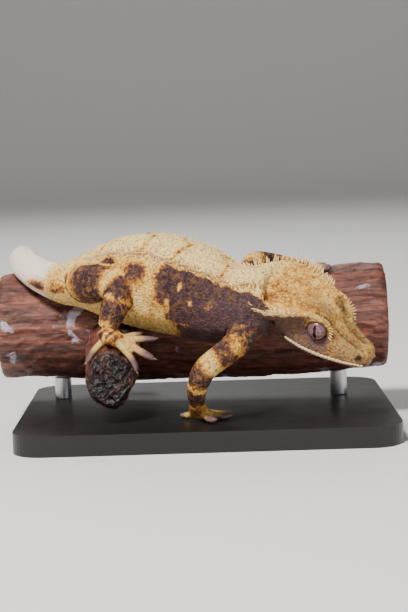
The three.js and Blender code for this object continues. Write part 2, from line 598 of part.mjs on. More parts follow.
// Limbs, each parted at its elbow or knee and cut back from the body and from its own foot
const body = bodyLength(HEAD_END - 1, TAIL_BASE_END, 2.4, GAP);
for (const [name, l] of Object.entries(LIMBS)) {
  const foot = FEET[name];
  const whole = jointedLimb(l);
  const at = l.path[JOINT_AT];
  const along = l.path[JOINT_AT + 1].clone().sub(l.path[JOINT_AT - 1]).normalize();
  const slot = new THREE.BoxGeometry(18, 18, GAP);
  slot.applyQuaternion(new THREE.Quaternion().setFromUnitVectors(V(0, 0, 1), along));
  slot.translate(at.x, at.y, at.z);
  const grownFoot = makeFoot({ ...foot, grow: GAP });
  const parted = whole.subtract(body).subtract(solid(slot)).subtract(grownFoot).decompose();
  const rootEnd = l.path[1];
  const footEnd = l.path[4];
  const nearest = (p) => {
    const distance = (m) => {
      const box = m.boundingBox();
      return V(...box.min).add(V(...box.max)).divideScalar(2).distanceTo(p);
    };
    return parted
      .filter((m) => m.volume() > 5)
      .sort((a, b) => distance(a) - distance(b))[0];
  };
  addNode("leg_" + name + "_upper", nearest(rootEnd), flankSkin);
  addNode("leg_" + name + "_lower", nearest(footEnd), flankSkin);
  addNode("foot_" + name, makeFoot(foot), toeSkin);
}

// Driftwood perch, carved back where the animal lies on it
const grownFeet = Object.values(FEET).map((foot) => makeFoot({ ...foot, grow: GAP }));
const grownLegs = Object.values(LIMBS).map((l) => jointedLimb(l, GAP));
const grownAnimal = joined([body, bodyLength(TAIL_BASE_END - 0.5, BODY_END, 2, GAP), ...grownFeet, ...grownLegs]);
const wholeLog = makeLog();
addNode("perch_log", wholeLog.subtract(grownAnimal), driftwood);
const grownLog = surfaceTube((x, a) => onLog(x, a, GAP), [{ at: LOG.leftX + 5 }, { at: -45 }, { at: -35 }, { at: -25 }, { at: -15 }, { at: 0 }, { at: 20 }, { at: LOG.rightX - 5 }], 22);
addNode("perch_stub", makeStub().subtract(grownLog).subtract(grownAnimal), driftwood);

// Display stand: a flat base board and two short rods up to the log
function makeBase() {
  const { length, width, corner, thickness, centreX, centreY } = BASE;
  const x = length / 2 - corner;
  const y = width / 2 - corner;
  const outline = new THREE.Shape();
  outline.absarc(x, y, corner, 0, Math.PI / 2);
  outline.absarc(-x, y, corner, Math.PI / 2, Math.PI);
  outline.absarc(-x, -y, corner, Math.PI, 1.5 * Math.PI);
  outline.absarc(x, -y, corner, 1.5 * Math.PI, 2 * Math.PI);
  const board = new THREE.ExtrudeGeometry(outline, { depth: thickness, bevelEnabled: false, curveSegments: 5 });
  board.translate(centreX, centreY, -thickness);
  return solid(board);
}
addNode("stand_base", makeBase(), baseBoard);
ROD_X.forEach((x, i) => {
  const axis = logAxis(x);
  const rod = new THREE.CylinderGeometry(ROD_RADIUS, ROD_RADIUS, axis.z - GAP, 20);
  rod.rotateX(Math.PI / 2);
  rod.translate(x, axis.y, axis.z / 2 + GAP / 2);
  addNode("stand_rod_" + (i + 1), solid(rod).subtract(grownLog), steel);
});

export default gecko;
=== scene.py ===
"""Looks of a crested gecko on driftwood: one skin, spines, lip scales, eyes, claws, wood and stand."""
import math

import bpy
import numpy as np
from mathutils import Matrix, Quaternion, Vector, kdtree, noise


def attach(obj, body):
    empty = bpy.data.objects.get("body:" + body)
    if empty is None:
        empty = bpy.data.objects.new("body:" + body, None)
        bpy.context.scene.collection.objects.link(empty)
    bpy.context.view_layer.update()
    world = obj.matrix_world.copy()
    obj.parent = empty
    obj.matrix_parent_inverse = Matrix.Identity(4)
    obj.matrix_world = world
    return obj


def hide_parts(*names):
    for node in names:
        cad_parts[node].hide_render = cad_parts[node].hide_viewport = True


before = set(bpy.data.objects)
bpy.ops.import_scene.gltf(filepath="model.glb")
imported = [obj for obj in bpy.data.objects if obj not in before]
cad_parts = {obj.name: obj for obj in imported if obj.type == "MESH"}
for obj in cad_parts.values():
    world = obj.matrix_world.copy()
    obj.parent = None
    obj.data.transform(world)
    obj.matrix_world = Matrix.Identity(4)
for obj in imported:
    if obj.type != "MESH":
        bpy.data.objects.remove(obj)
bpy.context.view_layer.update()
RANDOM = np.random.default_rng(7)

# Driving sizes in millimetres, in the animal's own frame, whose floor is the top of the base
MM = 0.001
BASE_CENTRE_X = 1.0
BASE_CENTRE_Y = 31.0
BASE_THICKNESS = 6.0
TO_ROW = np.array([-BASE_CENTRE_X, -BASE_CENTRE_Y, BASE_THICKNESS])
VOXEL = 0.43

# Eyes and nostrils, placed forward, out and up from the head's origin, and the skin round them
EYE_RADIUS = 3.2
EYE_CENTRE = (0.2, 5.8, 0.5)
EYE_AHEAD = 0.18
EYE_RISE = 0.06
DOME_RADIUS = 4.1
LID_RADIUS = 3.4
LID_OUT = 0.6
LID_THICKNESS = 0.62
UPPER_LID_SWELL = 0.12
NOSTRIL = (13.6, 3.75, -3.2)
EAR_STATION = 9.05

# Driftwood
LOG_LEFT = np.array([-62.0, 50.0, 22.2])
LOG_RIGHT = np.array([56.0, 40.5, 23.6])
LOG_RADIUS = 16.3
STUB_X = -26.4
STUB_Z = 13.6
STUB_FRONT = -0.5
STUB_BACK = 38.0
STUB_HALF_WIDTH = 6.9
STUB_TOP = 7.6
STUB_BOTTOM = 9.4

# Grooves in the skin of the head: depth and reach of each, and how far back of the eyes the mouth goes
MOUTH_GROOVE = (0.5, 0.5)
MOUTH_BACK = -12
NOSTRIL_PIT = (0.9, 0.75)
EAR_GROOVE = (1.1, 0.6)
SNOUT_GROOVE = (0.75, 1.1)
BROW_GROOVE = (0.45, 1.3)
# Raised ring round a nostril: radius, height and reach
NOSTRIL_RING = (1.15, 0.16, 0.4)

# Rows of crest spines: row on the skin, how closely they are set, size
CREST_ROWS = ((1.0, 1.15, 1.0), (1.10, 0.9, 0.66), (0.90, 0.8, 0.6), (0.8, 0.5, 0.45))
CREST_START = 7.4
CREST_HEIGHT = 1.75
CREST_WIDTH = 0.42
# How far each leans out, up and back
CREST_LEAN = (0.75, 0.62, 0.3)
# Lashes: how many, and the degrees where they start and that they span round the eye
LASHES = 17
LASH_START = -12
LASH_SPAN = 188
# Scales of the upper and the lower lip: row on the skin, half sizes along, up and out
LIP_ROWS = ((3.25, (0.84, 0.86, 0.50)), (4.62, (0.56, 0.30, 0.26)))
LIP_START = 1.2
LIP_END = 8.0
LIP_SPACING = 1.22
CLAW_LENGTH = 1.2
CLAW_WIDTH = 0.28

# Rounds of smoothing for the whole skin, for where limbs join it, for its fields and for its paint
SKIN_ROUNDS = 4
JOIN_ROUNDS = 60
FIELD_ROUNDS = 3
PAINT_ROUNDS = 2

# How many rings and sides the driftwood has, and the share of skin points that carry a raised scale
LOG_RINGS = 260
LOG_SIDES = 200
STUB_SIDES = 150
GRANULE_SHARE = 0.06

# Sizes of the fine and coarse scales of the skin's finish, in metres as shader nodes measure
FINE_SCALE = 0.00066
COARSE_SCALE = 0.00105
# Depths behind the stub's broken face, in metres, where it stops being black and where it is fully black
END_BLACK_FADE = 0.006
END_BLACK_FULL = 0.0005

# Straight up, and the head's origin between the eyes with its turn, pitch and roll
UP = np.array([0.0, 0.0, 1.0])
HEAD_ORIGIN = np.array([36.2, 0.8, 28.0])
HEAD_YAW = math.radians(-31)
HEAD_PITCH = math.radians(-27.5)
HEAD_ROLL = math.radians(19)


def unit(v):
    v = np.asarray(v, float)
    return v / np.linalg.norm(v, axis=-1, keepdims=True)


def turned(v, axis, angle):
    """v turned about a unit axis."""
    share = axis * np.dot(axis, v) * (1 - math.cos(angle))
    return v * math.cos(angle) + np.cross(axis, v) * math.sin(angle) + share


HEAD_FORWARD = np.array([
    math.cos(HEAD_PITCH) * math.cos(HEAD_YAW),
    math.cos(HEAD_PITCH) * math.sin(HEAD_YAW),
    math.sin(HEAD_PITCH),
])
HEAD_LEFT = turned(np.array([-math.sin(HEAD_YAW), math.cos(HEAD_YAW), 0.0]), HEAD_FORWARD, HEAD_ROLL)
HEAD_UP = np.cross(HEAD_FORWARD, HEAD_LEFT)


def head_point(forward, left, up):
    """The point so far forward, left and up from the head's origin."""
    return HEAD_ORIGIN + HEAD_FORWARD * forward + HEAD_LEFT * left + HEAD_UP * up


def head_local(points):
    """Forward, left and up of the middle of the eyes for each point."""
    d = points - HEAD_ORIGIN
    return np.stack([d @ HEAD_FORWARD, d @ HEAD_LEFT, d @ HEAD_UP], 1)


# Half cross-sections of the head by distance ahead of the eyes, as out and up pairs, with the roll each adds:
# top, crest row, flank, upper lip, mouth line, lower lip, jaw, underside
HEAD_SECTIONS = [
    (15.6, [(0, -2.6), (1.2, -2.8), (1.8, -3.9), (1.9, -4.8),
            (1.8, -5), (1.7, -5.3), (1.1, -5.8), (0, -5.9)], 0),
    (15, [(0, -1.6), (2.2, -1.9), (3, -3.6), (3.2, -5),
          (2.9, -5.3), (2.8, -5.7), (2, -6.4), (0, -6.6)], 0),
    (13.2, [(0, -0.8), (3, -1), (4, -3.2), (4.3, -5.1),
            (4, -5.4), (3.9, -5.9), (2.9, -6.9), (0, -7.2)], 0),
    (9.8, [(0, -0.6), (3.3, -0.4), (5.1, -2.5), (5.9, -5.4),
           (5.5, -5.7), (5.4, -6.3), (4.1, -7.3), (0, -7.7)], 0),
    (6, [(0, 0.1), (4.0, 0.8), (6.2, -1.6), (7.2, -5.6),
         (6.7, -5.95), (6.6, -6.6), (5.3, -7.8), (0, -8.2)], 0),
    (3, [(0, 1.3), (5.4, 2.6), (6.3, -0.9), (8.2, -5.6),
         (7.6, -6), (7.5, -6.7), (6, -8), (0, -8.5)], 0),
    (0, [(0, 2.8), (7.4, 5.1), (6.6, -0.5), (8.9, -5.5),
         (8.3, -5.9), (8.2, -6.6), (6.7, -8.2), (0, -8.8)], 1),
    (-3.4, [(0, 3.4), (8.2, 4.8), (7.6, -0.5), (9.4, -5.3),
            (8.8, -5.7), (8.7, -6.4), (7.2, -8.2), (0, -8.9)], 3),
    (-8, [(0, 4.1), (10.1, 3.7), (9.4, -0.6), (9.5, -4.8),
          (9.2, -5.2), (9.2, -6), (7.6, -8.1), (0, -8.8)], 7),
    (-12.5, [(0, 4.5), (11.8, 2.7), (9.9, -0.9), (9.2, -3.4),
             (9, -4.2), (8.8, -5.2), (7.2, -7.9), (0, -8.6)], 10),
    (-16.5, [(0, 4.6), (12.3, 2.2), (9.8, -1.2), (9, -3.4),
             (8.8, -4.2), (8.5, -5.1), (6.7, -7.9), (0, -8.8)], 11),
    (-20, [(0, 4.7), (10.4, 3), (9.6, -1.2), (9.2, -3.5),
           (9, -4.4), (8.6, -5.4), (6.8, -8.6), (0, -9.6)], 10),
]
SECTION_ANGLES = np.radians([90, 52, 12, -14, -20, -27, -58, -90])

# Trunk and tail stations: centre, half width, height above and below, roll in degrees.
# Past the station of the tail's bend its top faces out from the log.
TAIL_BEND = 12
TAIL_TOP = np.array([-0.5, 0.8, 0.2])
TRUNK = [
    ((17.2, 8.6, 34.0), 10.1, 9.6, 10.8, 17),
    ((10.6, 9.6, 33.0), 10.9, 10.6, 11.6, 16),
    ((3.4, 12.6, 34.4), 12.2, 13.4, 13.2, 15),
    ((-4.1, 16.2, 36.6), 12.8, 14.4, 14.0, 14),
    ((-11.7, 19.7, 38.2), 12.9, 15.0, 14.4, 13),
    ((-20.7, 23.6, 38.7), 12.0, 13.8, 13.0, 11),
    ((-28.6, 27.0, 38.5), 9.8, 11.2, 10.4, 9),
    ((-35.2, 29.8, 38.4), 7.6, 8.2, 7.8, 7),
    ((-40.6, 32.2, 38.4), 6.3, 5.9, 6.9, 5),
    ((-45.6, 35.1, 39.1), 5.2, 5.2, 5.6, 4),
    ((-50.2, 38.8, 41.0), 5.0, 5.0, 5.0, 2),
    ((-53.8, 44.3, 43.0), 4.6, 4.6, 4.6, 0),
    ((-55.0, 51.6, 43.8), 4.4, 4.3, 4.4, 0),
    ((-54.2, 59.0, 41.6), 4.1, 3.9, 4.0, 0),
    ((-52.2, 65.6, 36.6), 3.7, 3.4, 3.5, 0),
    ((-47.0, 69.6, 28.8), 3.3, 3.0, 3.0, 0),
    ((-40.4, 70.6, 20.6), 2.9, 2.5, 2.5, 0),
    ((-32.6, 69.6, 13.8), 2.5, 2.0, 2.0, 0),
    ((-24.2, 67.4, 9.8), 2.2, 1.5, 1.5, 0),
    ((-17.2, 65.0, 9.4), 2.1, 1.1, 1.1, 0),
    ((-14.4, 64.0, 9.9), 1.1, 0.7, 0.7, 0),
]
HEAD_END = len(HEAD_SECTIONS) - 1
TORSO_END = HEAD_END + 7.6
BODY_END = len(HEAD_SECTIONS) + len(TRUNK) - 1


def body_stations():
    """Centres, forward and up directions and half sections of every station, nose to tail."""
    centres, forwards, ups, halves = [], [], [], []
    for at, half, roll in HEAD_SECTIONS:
        centres.append(head_point(at, 0, 0))
        forwards.append(HEAD_FORWARD)
        ups.append(turned(HEAD_UP, HEAD_FORWARD, math.radians(roll)))
        halves.append(np.array(half, float))
    for i, (at, width, top, bottom, roll) in enumerate(TRUNK):
        before = np.array(TRUNK[i - 1][0]) if i else head_point(HEAD_SECTIONS[HEAD_END][0], 0, -2)
        after = np.array(TRUNK[min(i + 1, len(TRUNK) - 1)][0])
        forward = unit(before - after)
        upright = TAIL_TOP if i > TAIL_BEND else UP
        up = turned(upright, forward, math.radians(roll))
        up = unit(up - forward * np.dot(up, forward))
        sines = np.sin(SECTION_ANGLES)
        half = np.stack([width * np.cos(SECTION_ANGLES), np.where(sines > 0, top, bottom) * sines], 1)
        centres.append(np.array(at))
        forwards.append(forward)
        ups.append(up)
        halves.append(half)
    return np.array(centres), np.array(forwards), np.array(ups), np.array(halves)


CENTRES, FORWARDS, UPS, HALVES = body_stations()


def catmull(a, b, c, d, t):
    """A smooth curve from b to c, bent by its neighbours a and d."""
    v0 = (c - a) / 2
    v1 = (d - b) / 2
    return (2 * (b - c) + v0 + v1) * t ** 3 + (3 * (c - b) - 2 * v0 - v1) * t ** 2 + v0 * t + b


def read_at(values, t):
    """Values read at t along a smooth curve through them."""
    last = len(values) - 1
    i = min(int(t), last - 1)
    return catmull(*values[np.clip([i - 1, i, i + 1, i + 2], 0, last)], t - i)


def body_at(s):
    """Centre, forward, up, left and half section of the body at station s."""
    i = min(int(s), len(CENTRES) - 2)
    t = s - i
    centre = read_at(CENTRES, s)
    half = read_at(HALVES, s)
    forward = unit(FORWARDS[i] * (1 - t) + FORWARDS[i + 1] * t)
    up = UPS[i] * (1 - t) + UPS[i + 1] * t
    up = unit(up - forward * np.dot(up, forward))
    return centre, forward, up, np.cross(up, forward), half


def half_point(half, row):
    """A half section read between its points."""
    def pick(k):
        if k < 0:
            return half[-k] * (-1, 1)
        if k >= len(half):
            return half[2 * len(half) - 2 - k] * (-1, 1)
        return half[k]
    i = min(int(row), len(half) - 2)
    return catmull(pick(i - 1), pick(i), pick(i + 1), pick(i + 2), row - i)


def skin_point(s, row, side, lift=0.0):
    """A point on the skin and its outward direction; side is 1 for left and -1 for right."""
    centre, _, up, left, half = body_at(s)
    out, rise = half_point(half, row)
    normal = unit(left * out * side + up * rise)
    return centre + left * out * side + up * rise + normal * lift, normal


def ring_pairs(rings, sides, start=0):
    """Each vertex of each ring with its neighbour in that ring, by number."""
    for first in range(start, start + rings * sides, sides):
        for k in range(sides):
            yield first + k, first + (k + 1) % sides


def globe_faces(rows, sides, start=0):
    """Faces of a globe whose rings are numbered first and then its two poles."""
    faces = [(a, a + sides, b + sides, b) for a, b in ring_pairs(rows - 2, sides, start)]
    last = (rows - 2) * sides
    pole = start + (rows - 1) * sides
    for a, b in ring_pairs(1, sides, start):
        faces.append((pole, a, b))
        faces.append((pole + 1, b + last, a + last))
    return faces


class Shape:
    """Closed lofts gathered as one mesh, each vertex with its own named fields."""

    FIELDS = ("station", "around", "row", "side", "head", "limb", "toe", "limb_way", "limb_turn", "limb_kind")

    def __init__(self):
        self.points = []
        self.fields = []
        self.faces = []
        self.count = 0

    def add_rings(self, rings, fields):
        """rings is n by m by 3 and fields n by m by the number of fields."""
        n, m = rings.shape[:2]
        start = self.count
        self.points.append(rings.reshape(-1, 3))
        self.fields.append(fields.reshape(n * m, -1))
        self.points.append(np.array([rings[0].mean(0), rings[-1].mean(0)]))
        self.fields.append(np.array([fields[0].mean(0), fields[-1].mean(0)]))
        self.faces += [(a, b, b + m, a + m) for a, b in ring_pairs(n - 1, m, start)]
        first = start + n * m
        last = (n - 1) * m
        for a, b in ring_pairs(1, m, start):
            self.faces.append((first, b, a))
            self.faces.append((first + 1, a + last, b + last))
        self.count = first + 2

    def arrays(self):
        return np.concatenate(self.points), np.concatenate(self.fields)


def blank_fields(n, m, **known):
    """Fields for n by m vertices, zero where not given."""
    fields = np.zeros((n, m, len(Shape.FIELDS)))
    for name, value in known.items():
        fields[:, :, Shape.FIELDS.index(name)] = value
    return fields


def add_body(shape, per_station=14):
    """Head, neck, trunk and tail as one loft."""
    rows = np.concatenate([np.linspace(0, 2, 17), np.linspace(2, 6, 29)[1:], np.linspace(6, 7, 7)[1:]])
    stops = np.linspace(0, BODY_END, int(BODY_END * per_station) + 1)
    ring_rows = np.concatenate([rows, rows[1:-1][::-1]])
    rings, around, side = [], [], []
    for s in stops:
        centre, _, up, left, half = body_at(s)
        half_line = np.array([half_point(half, r) for r in rows])
        outline = np.concatenate([half_line, half_line[1:-1][::-1] * (-1, 1)])
        rings.append(centre + outline[:, :1] * left + outline[:, 1:] * up)
        tall = max(half[0][1] - half[-1][1], 0.5)
        middle = (half[0][1] + half[-1][1]) / 2
        height = (outline[:, 1] - middle) / (tall / 2)
        around.append(np.degrees(np.arctan2(height, np.abs(outline[:, 0]) / half[:, 0].max())))
        side.append(np.tanh(outline[:, 0] / 1.5))
    rings = np.array(rings)
    n, m = rings.shape[:2]
    head = np.clip(HEAD_END + 0.5 - stops, 0, 1)[:, None]
    fields = blank_fields(n, m, station=stops[:, None], around=np.array(around), row=ring_rows[None, :],
                          side=np.array(side), head=head)
    shape.add_rings(rings, fields)


def spline(path, count):
    """Points and tangents along a smooth curve through path, with count steps, and the way along it."""
    path = np.array(path, float)
    last = len(path) - 1
    stops = np.linspace(0, last, count + 1)
    points = np.array([read_at(path, t) for t in stops])
    return points, unit(np.gradient(points, axis=0)), stops / last


def add_tube(shape, path, radii, flat, sides=28, count=48, **known):
    """A limb or toe through path with a pair of radii, across and thick, at each point."""
    points, tangents, way = spline(path, count)
    radii = np.array(radii, float)
    turn = np.linspace(0, 2 * math.pi, sides, endpoint=False)
    rings = []
    for p, tangent, w in zip(points, tangents, way):
        across, thick = read_at(radii, w * (len(radii) - 1))
        up = unit(flat - tangent * np.dot(flat, tangent))
        wide = np.outer(np.cos(turn), np.cross(up, tangent)) * max(across, 0.25)
        rings.append(p + wide + np.outer(np.sin(turn), up) * max(thick, 0.2))
    rings = np.array(rings)
    n, m = rings.shape[:2]
    fields = blank_fields(n, m, limb_way=way[:, None], limb_turn=np.sin(turn)[None, :], **known)
    shape.add_rings(rings, fields)


# Where limbs and neck run smoothly into the body: middles and reaches
SOFT_JOINTS = [
    (np.array([19.5, 5.0, 28.5]), 9.0),
    (np.array([-37.0, 23.0, 36.5]), 7.5),
    (np.array([12.5, 2.5, 25.5]), 5.0),
    (np.array([-31.0, 36.0, 42.0]), 6.5),
]


# Points of the driftwood: on the log by X and an angle from +Y, and on the stub by Y and an angle from +X
def log_axis(x):
    t = (x - LOG_LEFT[0]) / (LOG_RIGHT[0] - LOG_LEFT[0])
    centre = LOG_LEFT * (1 - t) + LOG_RIGHT * t
    return np.array([x, centre[1] + 0.8 * math.sin(t * 9), centre[2] + 0.5 * math.sin(t * 7 + 1)])


def on_log(x, degrees, lift=0.0):
    a = math.radians(degrees)
    flutes = 0.35 * math.sin(3 * a + x * 0.05) + 0.25 * math.sin(7 * a - x * 0.03)
    r = LOG_RADIUS + flutes + 0.4 * math.sin(x * 0.11 + a) + lift
    return log_axis(x) + np.array([0, math.cos(a) * r, math.sin(a) * r])


def on_stub(y, degrees, lift=0.0):
    a = math.radians(degrees)
    flutes = 0.25 * math.sin(4 * a + y * 0.2)
    flare = 1 + 0.012 * max(0, y - 6)
    tall = STUB_TOP if math.sin(a) > 0 else STUB_BOTTOM
    return np.array([
        STUB_X + math.cos(a) * (STUB_HALF_WIDTH * flare + flutes + lift),
        y,
        STUB_Z + math.sin(a) * (tall * flare + flutes + lift) + 0.12 * max(0, y),
    ])


def out_of_log(p):
    d = p - log_axis(p[0])
    d[0] = 0
    return unit(d)


def out_of_stub(p):
    return unit(p - np.array([STUB_X, p[1], STUB_Z]))


def on_base(x, y, height):
    return np.array([x, y, height])


# Where a toe's five points lie, from the palm to its tip, and how high above the wood or the base
TOE_STEPS = (0, 0.3, 0.62, 0.86, 1)
LOG_LIFTS = (1.4, 1.0, 0.75, 0.7, 0.65)
STUB_LIFTS = (1.6, 1.0, 0.75, 0.7, 0.65)
BASE_LIFTS = (1.9, 1.5, 1.15, 1.05, 0.95)


def toe_on(surface, start, end, lifts):
    """A toe's five points over a surface."""
    return [surface(start[0] + (end[0] - start[0]) * t, start[1] + (end[1] - start[1]) * t, lift)
            for t, lift in zip(TOE_STEPS, lifts)]


def base_toe(start, end):
    return toe_on(on_base, start, end, BASE_LIFTS), UP


def log_toe(start, end):
    path = toe_on(on_log, start, end, LOG_LIFTS)
    return path, out_of_log(path[2])


def stub_toe(start, end):
    path = toe_on(on_stub, start, end, STUB_LIFTS)
    return path, out_of_stub(path[2])


# Paths in the animal's frame; flat is the way the top of a limb, palm or toe faces
LIMBS = {
    "fore_right": dict(
        path=[(15, 8.6, 29), (12.4, 2.6, 24.6), (6.8, -2.4, 20.4),
              (0.8, -5.4, 16.2), (-1.6, -3.4, 10.6), (-1.9, 1.4, 5.2)],
        radii=[(4.6, 4.6), (4.2, 4.0), (3.7, 3.5), (3.4, 3.2), (2.9, 2.8), (2.2, 2.0)],
        flat=np.array([0, 1, 0.4]),
        palm=[(-2.0, 0.6, 6.0), (-1.6, 2.6, 3.8), (-0.8, 4.2, 2.2), (0.4, 5.4, 1.7)],
        palm_radii=[(2.1, 2.0), (2.8, 2.1), (3.5, 1.8), (2.7, 1.4)],
        palm_flat=np.array([0.2, 0.5, 1]),
        toes=[
            base_toe((-2.2, 4.6), (-6.4, 8.4)),
            base_toe((-0.4, 6.2), (0.8, 13.0)),
            base_toe((1.0, 5.8), (7.6, 9.6)),
            base_toe((1.2, 4.6), (7.6, 3.4)),
            base_toe((0.0, 3.2), (3.0, -2.6)),
        ],
    ),
    "fore_left": dict(
        path=[(14, 11, 33), (14.8, 18.2, 36.6), (15.0, 23.0, 40.4),
              (16.6, 26.4, 43.4), (22.4, 30.0, 42.9), (28.2, 33.4, 41.6)],
        radii=[(4.4, 4.4), (3.9, 3.7), (3.5, 3.3), (3.1, 2.9), (2.6, 2.4), (2.1, 1.8)],
        flat=np.array([0, 0.2, 1]),
        palm=[(27.6, 33.0, 41.9), on_log(30.0, 112, 2.2), on_log(32.0, 110, 1.7), on_log(33.6, 108, 1.3)],
        palm_radii=[(2.0, 1.9), (2.7, 1.8), (3.2, 1.5), (2.4, 1.2)],
        palm_flat=UP,
        toes=[
            log_toe((31.0, 114), (29.0, 137)),
            log_toe((33.0, 112), (37.4, 127)),
            log_toe((33.8, 109), (40.4, 109)),
            log_toe((33.4, 106), (38.6, 91)),
            log_toe((31.6, 104), (31.6, 81)),
        ],
    ),
    "hind_right": dict(
        path=[(-36, 29, 38), (-32.4, 21.6, 38.6), (-26.4, 14.6, 39.4),
              (-23.6, 11.0, 36.8), (-25.2, 9.2, 31.6), (-27.2, 8.4, 26.8)],
        radii=[(5.2, 5.2), (5.9, 5.6), (4.9, 4.8), (4.0, 3.9), (3.9, 3.3), (2.6, 2.3)],
        flat=np.array([0, 1, 0.3]),
        palm=[(-27.2, 8.2, 26.2), on_stub(7.4, 92, 2.6), on_stub(6.2, 80, 2.2), on_stub(5.4, 70, 1.5)],
        palm_radii=[(2.5, 2.3), (3.4, 2.2), (4.1, 1.9), (3.0, 1.5)],
        palm_flat=UP,
        toes=[
            stub_toe((6.6, 98), (2.6, 152)),
            stub_toe((4.8, 72), (1.0, 8)),
            ([(-21.4, 5.4, 23.0), (-19.4, 5.0, 21.6), (-16.8, 4.6, 20.0),
              (-14.8, 4.3, 18.8), (-13.6, 4.1, 18.0)], np.array([0.5, -0.3, 0.8])),
            ([(-21.8, 6.6, 23.6), (-19.8, 6.8, 23.7), (-16.6, 7.1, 23.7),
              (-14.2, 7.3, 23.6), (-12.9, 7.4, 23.4)], UP),
            ([(-22.6, 8.0, 23.9), (-21.2, 9.6, 24.1), (-19.6, 11.6, 24.3),
              (-18.4, 13.2, 24.3), (-17.6, 14.2, 24.2)], UP),
        ],
    ),
    "hind_left": dict(
        path=[(-34, 31, 39.5), (-30.6, 37.6, 42.6), (-25.2, 43.0, 44.6),
              (-23.4, 46.4, 44.4), (-26.6, 48.6, 43.4), (-30.4, 50.4, 42.0)],
        radii=[(6.2, 6.2), (5.4, 5.0), (4.2, 3.8), (3.3, 3.1), (3.1, 2.7), (2.4, 2.0)],
        flat=np.array([0.2, 0.3, 1]),
        palm=[(-30.0, 50.2, 42.2), on_log(-31.6, 66, 1.9), on_log(-33.0, 60, 1.6), on_log(-34.0, 55, 1.2)],
        palm_radii=[(2.2, 2.0), (3.0, 1.8), (3.6, 1.5), (2.6, 1.2)],
        palm_flat=np.array([0, 0.4, 1]),
        toes=[
            log_toe((-32.0, 66), (-29.4, 88)),
            log_toe((-33.8, 62), (-39.4, 66)),
            log_toe((-34.2, 57), (-39.6, 42)),
            log_toe((-33.2, 54), (-34.6, 28)),
            log_toe((-31.6, 55), (-27.2, 34)),
        ],
    ),
}
TOE_RADII = [(1.5, 1.2), (1.3, 1.0), (1.75, 0.9), (1.66, 0.75), (0.7, 0.45)]


def add_limbs(shape):
    for kind, limb in enumerate(LIMBS.values(), 1):
        add_tube(shape, limb["path"], limb["radii"], limb["flat"], sides=40, count=70, limb=1, limb_kind=kind)
        add_tube(shape, limb["palm"], limb["palm_radii"], limb["palm_flat"], limb=1, toe=0.35, limb_kind=kind)
        for path, flat in limb["toes"]:
            add_tube(shape, path, TOE_RADII, flat, sides=22, count=40, limb=1, toe=1, limb_kind=kind)


def eye_at(side):
    """Middle of an eyeball."""
    forward, out, up = EYE_CENTRE
    return head_point(forward, out * side, up)


def eye_axes(side):
    """Look direction, ahead and above for an eye."""
    look = unit(HEAD_LEFT * side + HEAD_FORWARD * EYE_AHEAD + HEAD_UP * EYE_RISE)
    ahead = unit(HEAD_FORWARD - look * np.dot(HEAD_FORWARD, look))
    above = unit(HEAD_UP - look * np.dot(HEAD_UP, look))
    return look, ahead, above


def add_eye_rims(shape):
    """A dome of skin round each eye, open on its outer side, and a thick lid along its rim."""
    for side in (-1, 1):
        look, ahead, above = eye_axes(side)
        lid_fields = dict(head=1, station=6, around=20, row=0.8, side=side)
        circle = np.linspace(0, 2 * math.pi, 48, endpoint=False)
        ring = np.outer(np.cos(circle), ahead) + np.outer(np.sin(circle), above)
        depths = np.linspace(-DOME_RADIUS * 0.98, LID_OUT, 26)
        dome = [eye_at(side) + look * d + ring * math.sqrt(DOME_RADIUS ** 2 - d ** 2) for d in depths]
        shape.add_rings(np.array(dome), blank_fields(len(depths), len(circle), **lid_fields))
        middle = eye_at(side) + look * LID_OUT
        turn = np.linspace(0, 2 * math.pi, 49)
        path = [middle + (ahead * math.cos(a) + above * math.sin(a)) * LID_RADIUS for a in turn]
        thick = [(LID_THICKNESS + UPPER_LID_SWELL * max(0, math.sin(a)),) * 2 for a in turn]
        add_tube(shape, path, thick, look, sides=14, count=96, **lid_fields)


def add_object(name, data):
    """An object in the scene that shows the data."""
    obj = bpy.data.objects.new(name, data)
    bpy.context.scene.collection.objects.link(obj)
    return obj


def new_object(name, points, faces):
    """A smooth mesh object from points in millimetres in the animal's frame."""
    mesh = bpy.data.meshes.new(name)
    mesh.from_pydata(((np.asarray(points) + TO_ROW) * MM).tolist(), [], [tuple(map(int, f)) for f in faces])
    mesh.validate()
    mesh.polygons.foreach_set("use_smooth", [True] * len(mesh.polygons))
    return add_object(name, mesh)


def set_field(mesh, name, values):
    attribute = mesh.attributes.new(name, "FLOAT", "POINT")
    attribute.data.foreach_set("value", np.asarray(values, np.float32))


def vertex_points(mesh):
    flat = np.empty(len(mesh.vertices) * 3)
    mesh.vertices.foreach_get("co", flat)
    return flat.reshape(-1, 3)


def vertex_normals(mesh):
    flat = np.empty(len(mesh.vertices) * 3)
    mesh.vertex_normals.foreach_get("vector", flat)
    return flat.reshape(-1, 3)


def edges_of(mesh):
    flat = np.empty(len(mesh.edges) * 2, np.int64)
    mesh.edges.foreach_get("vertices", flat)
    return flat.reshape(-1, 2)


def smoothed(values, edges, times, factor=0.5):
    """values averaged with their neighbours' along the mesh's edges."""
    values = np.array(values, float)
    degree = np.bincount(edges.ravel(), minlength=len(values)).astype(float)
    degree[degree == 0] = 1
    for _ in range(times):
        total = np.zeros_like(values)
        np.add.at(total, edges[:, 0], values[edges[:, 1]])
        np.add.at(total, edges[:, 1], values[edges[:, 0]])
        divisor = degree if values.ndim == 1 else degree[:, None]
        values += (total / divisor - values) * factor
    return values


def falloff(distance, reach, power=2):
    """1 at no distance, and close to 0 at twice the reach."""
    return np.exp(-(distance / reach) ** power)


def below(x, width):
    """1 where x is well below 0 and 0 where it is well above, over the width."""
    return 1 / (1 + np.exp(x / width))


def blob(x, y, x0, y0, dx, dy):
    """A soft oval patch round x0, y0."""
    return np.exp(-((x - x0) / dx) ** 2 - ((y - y0) / dy) ** 2)


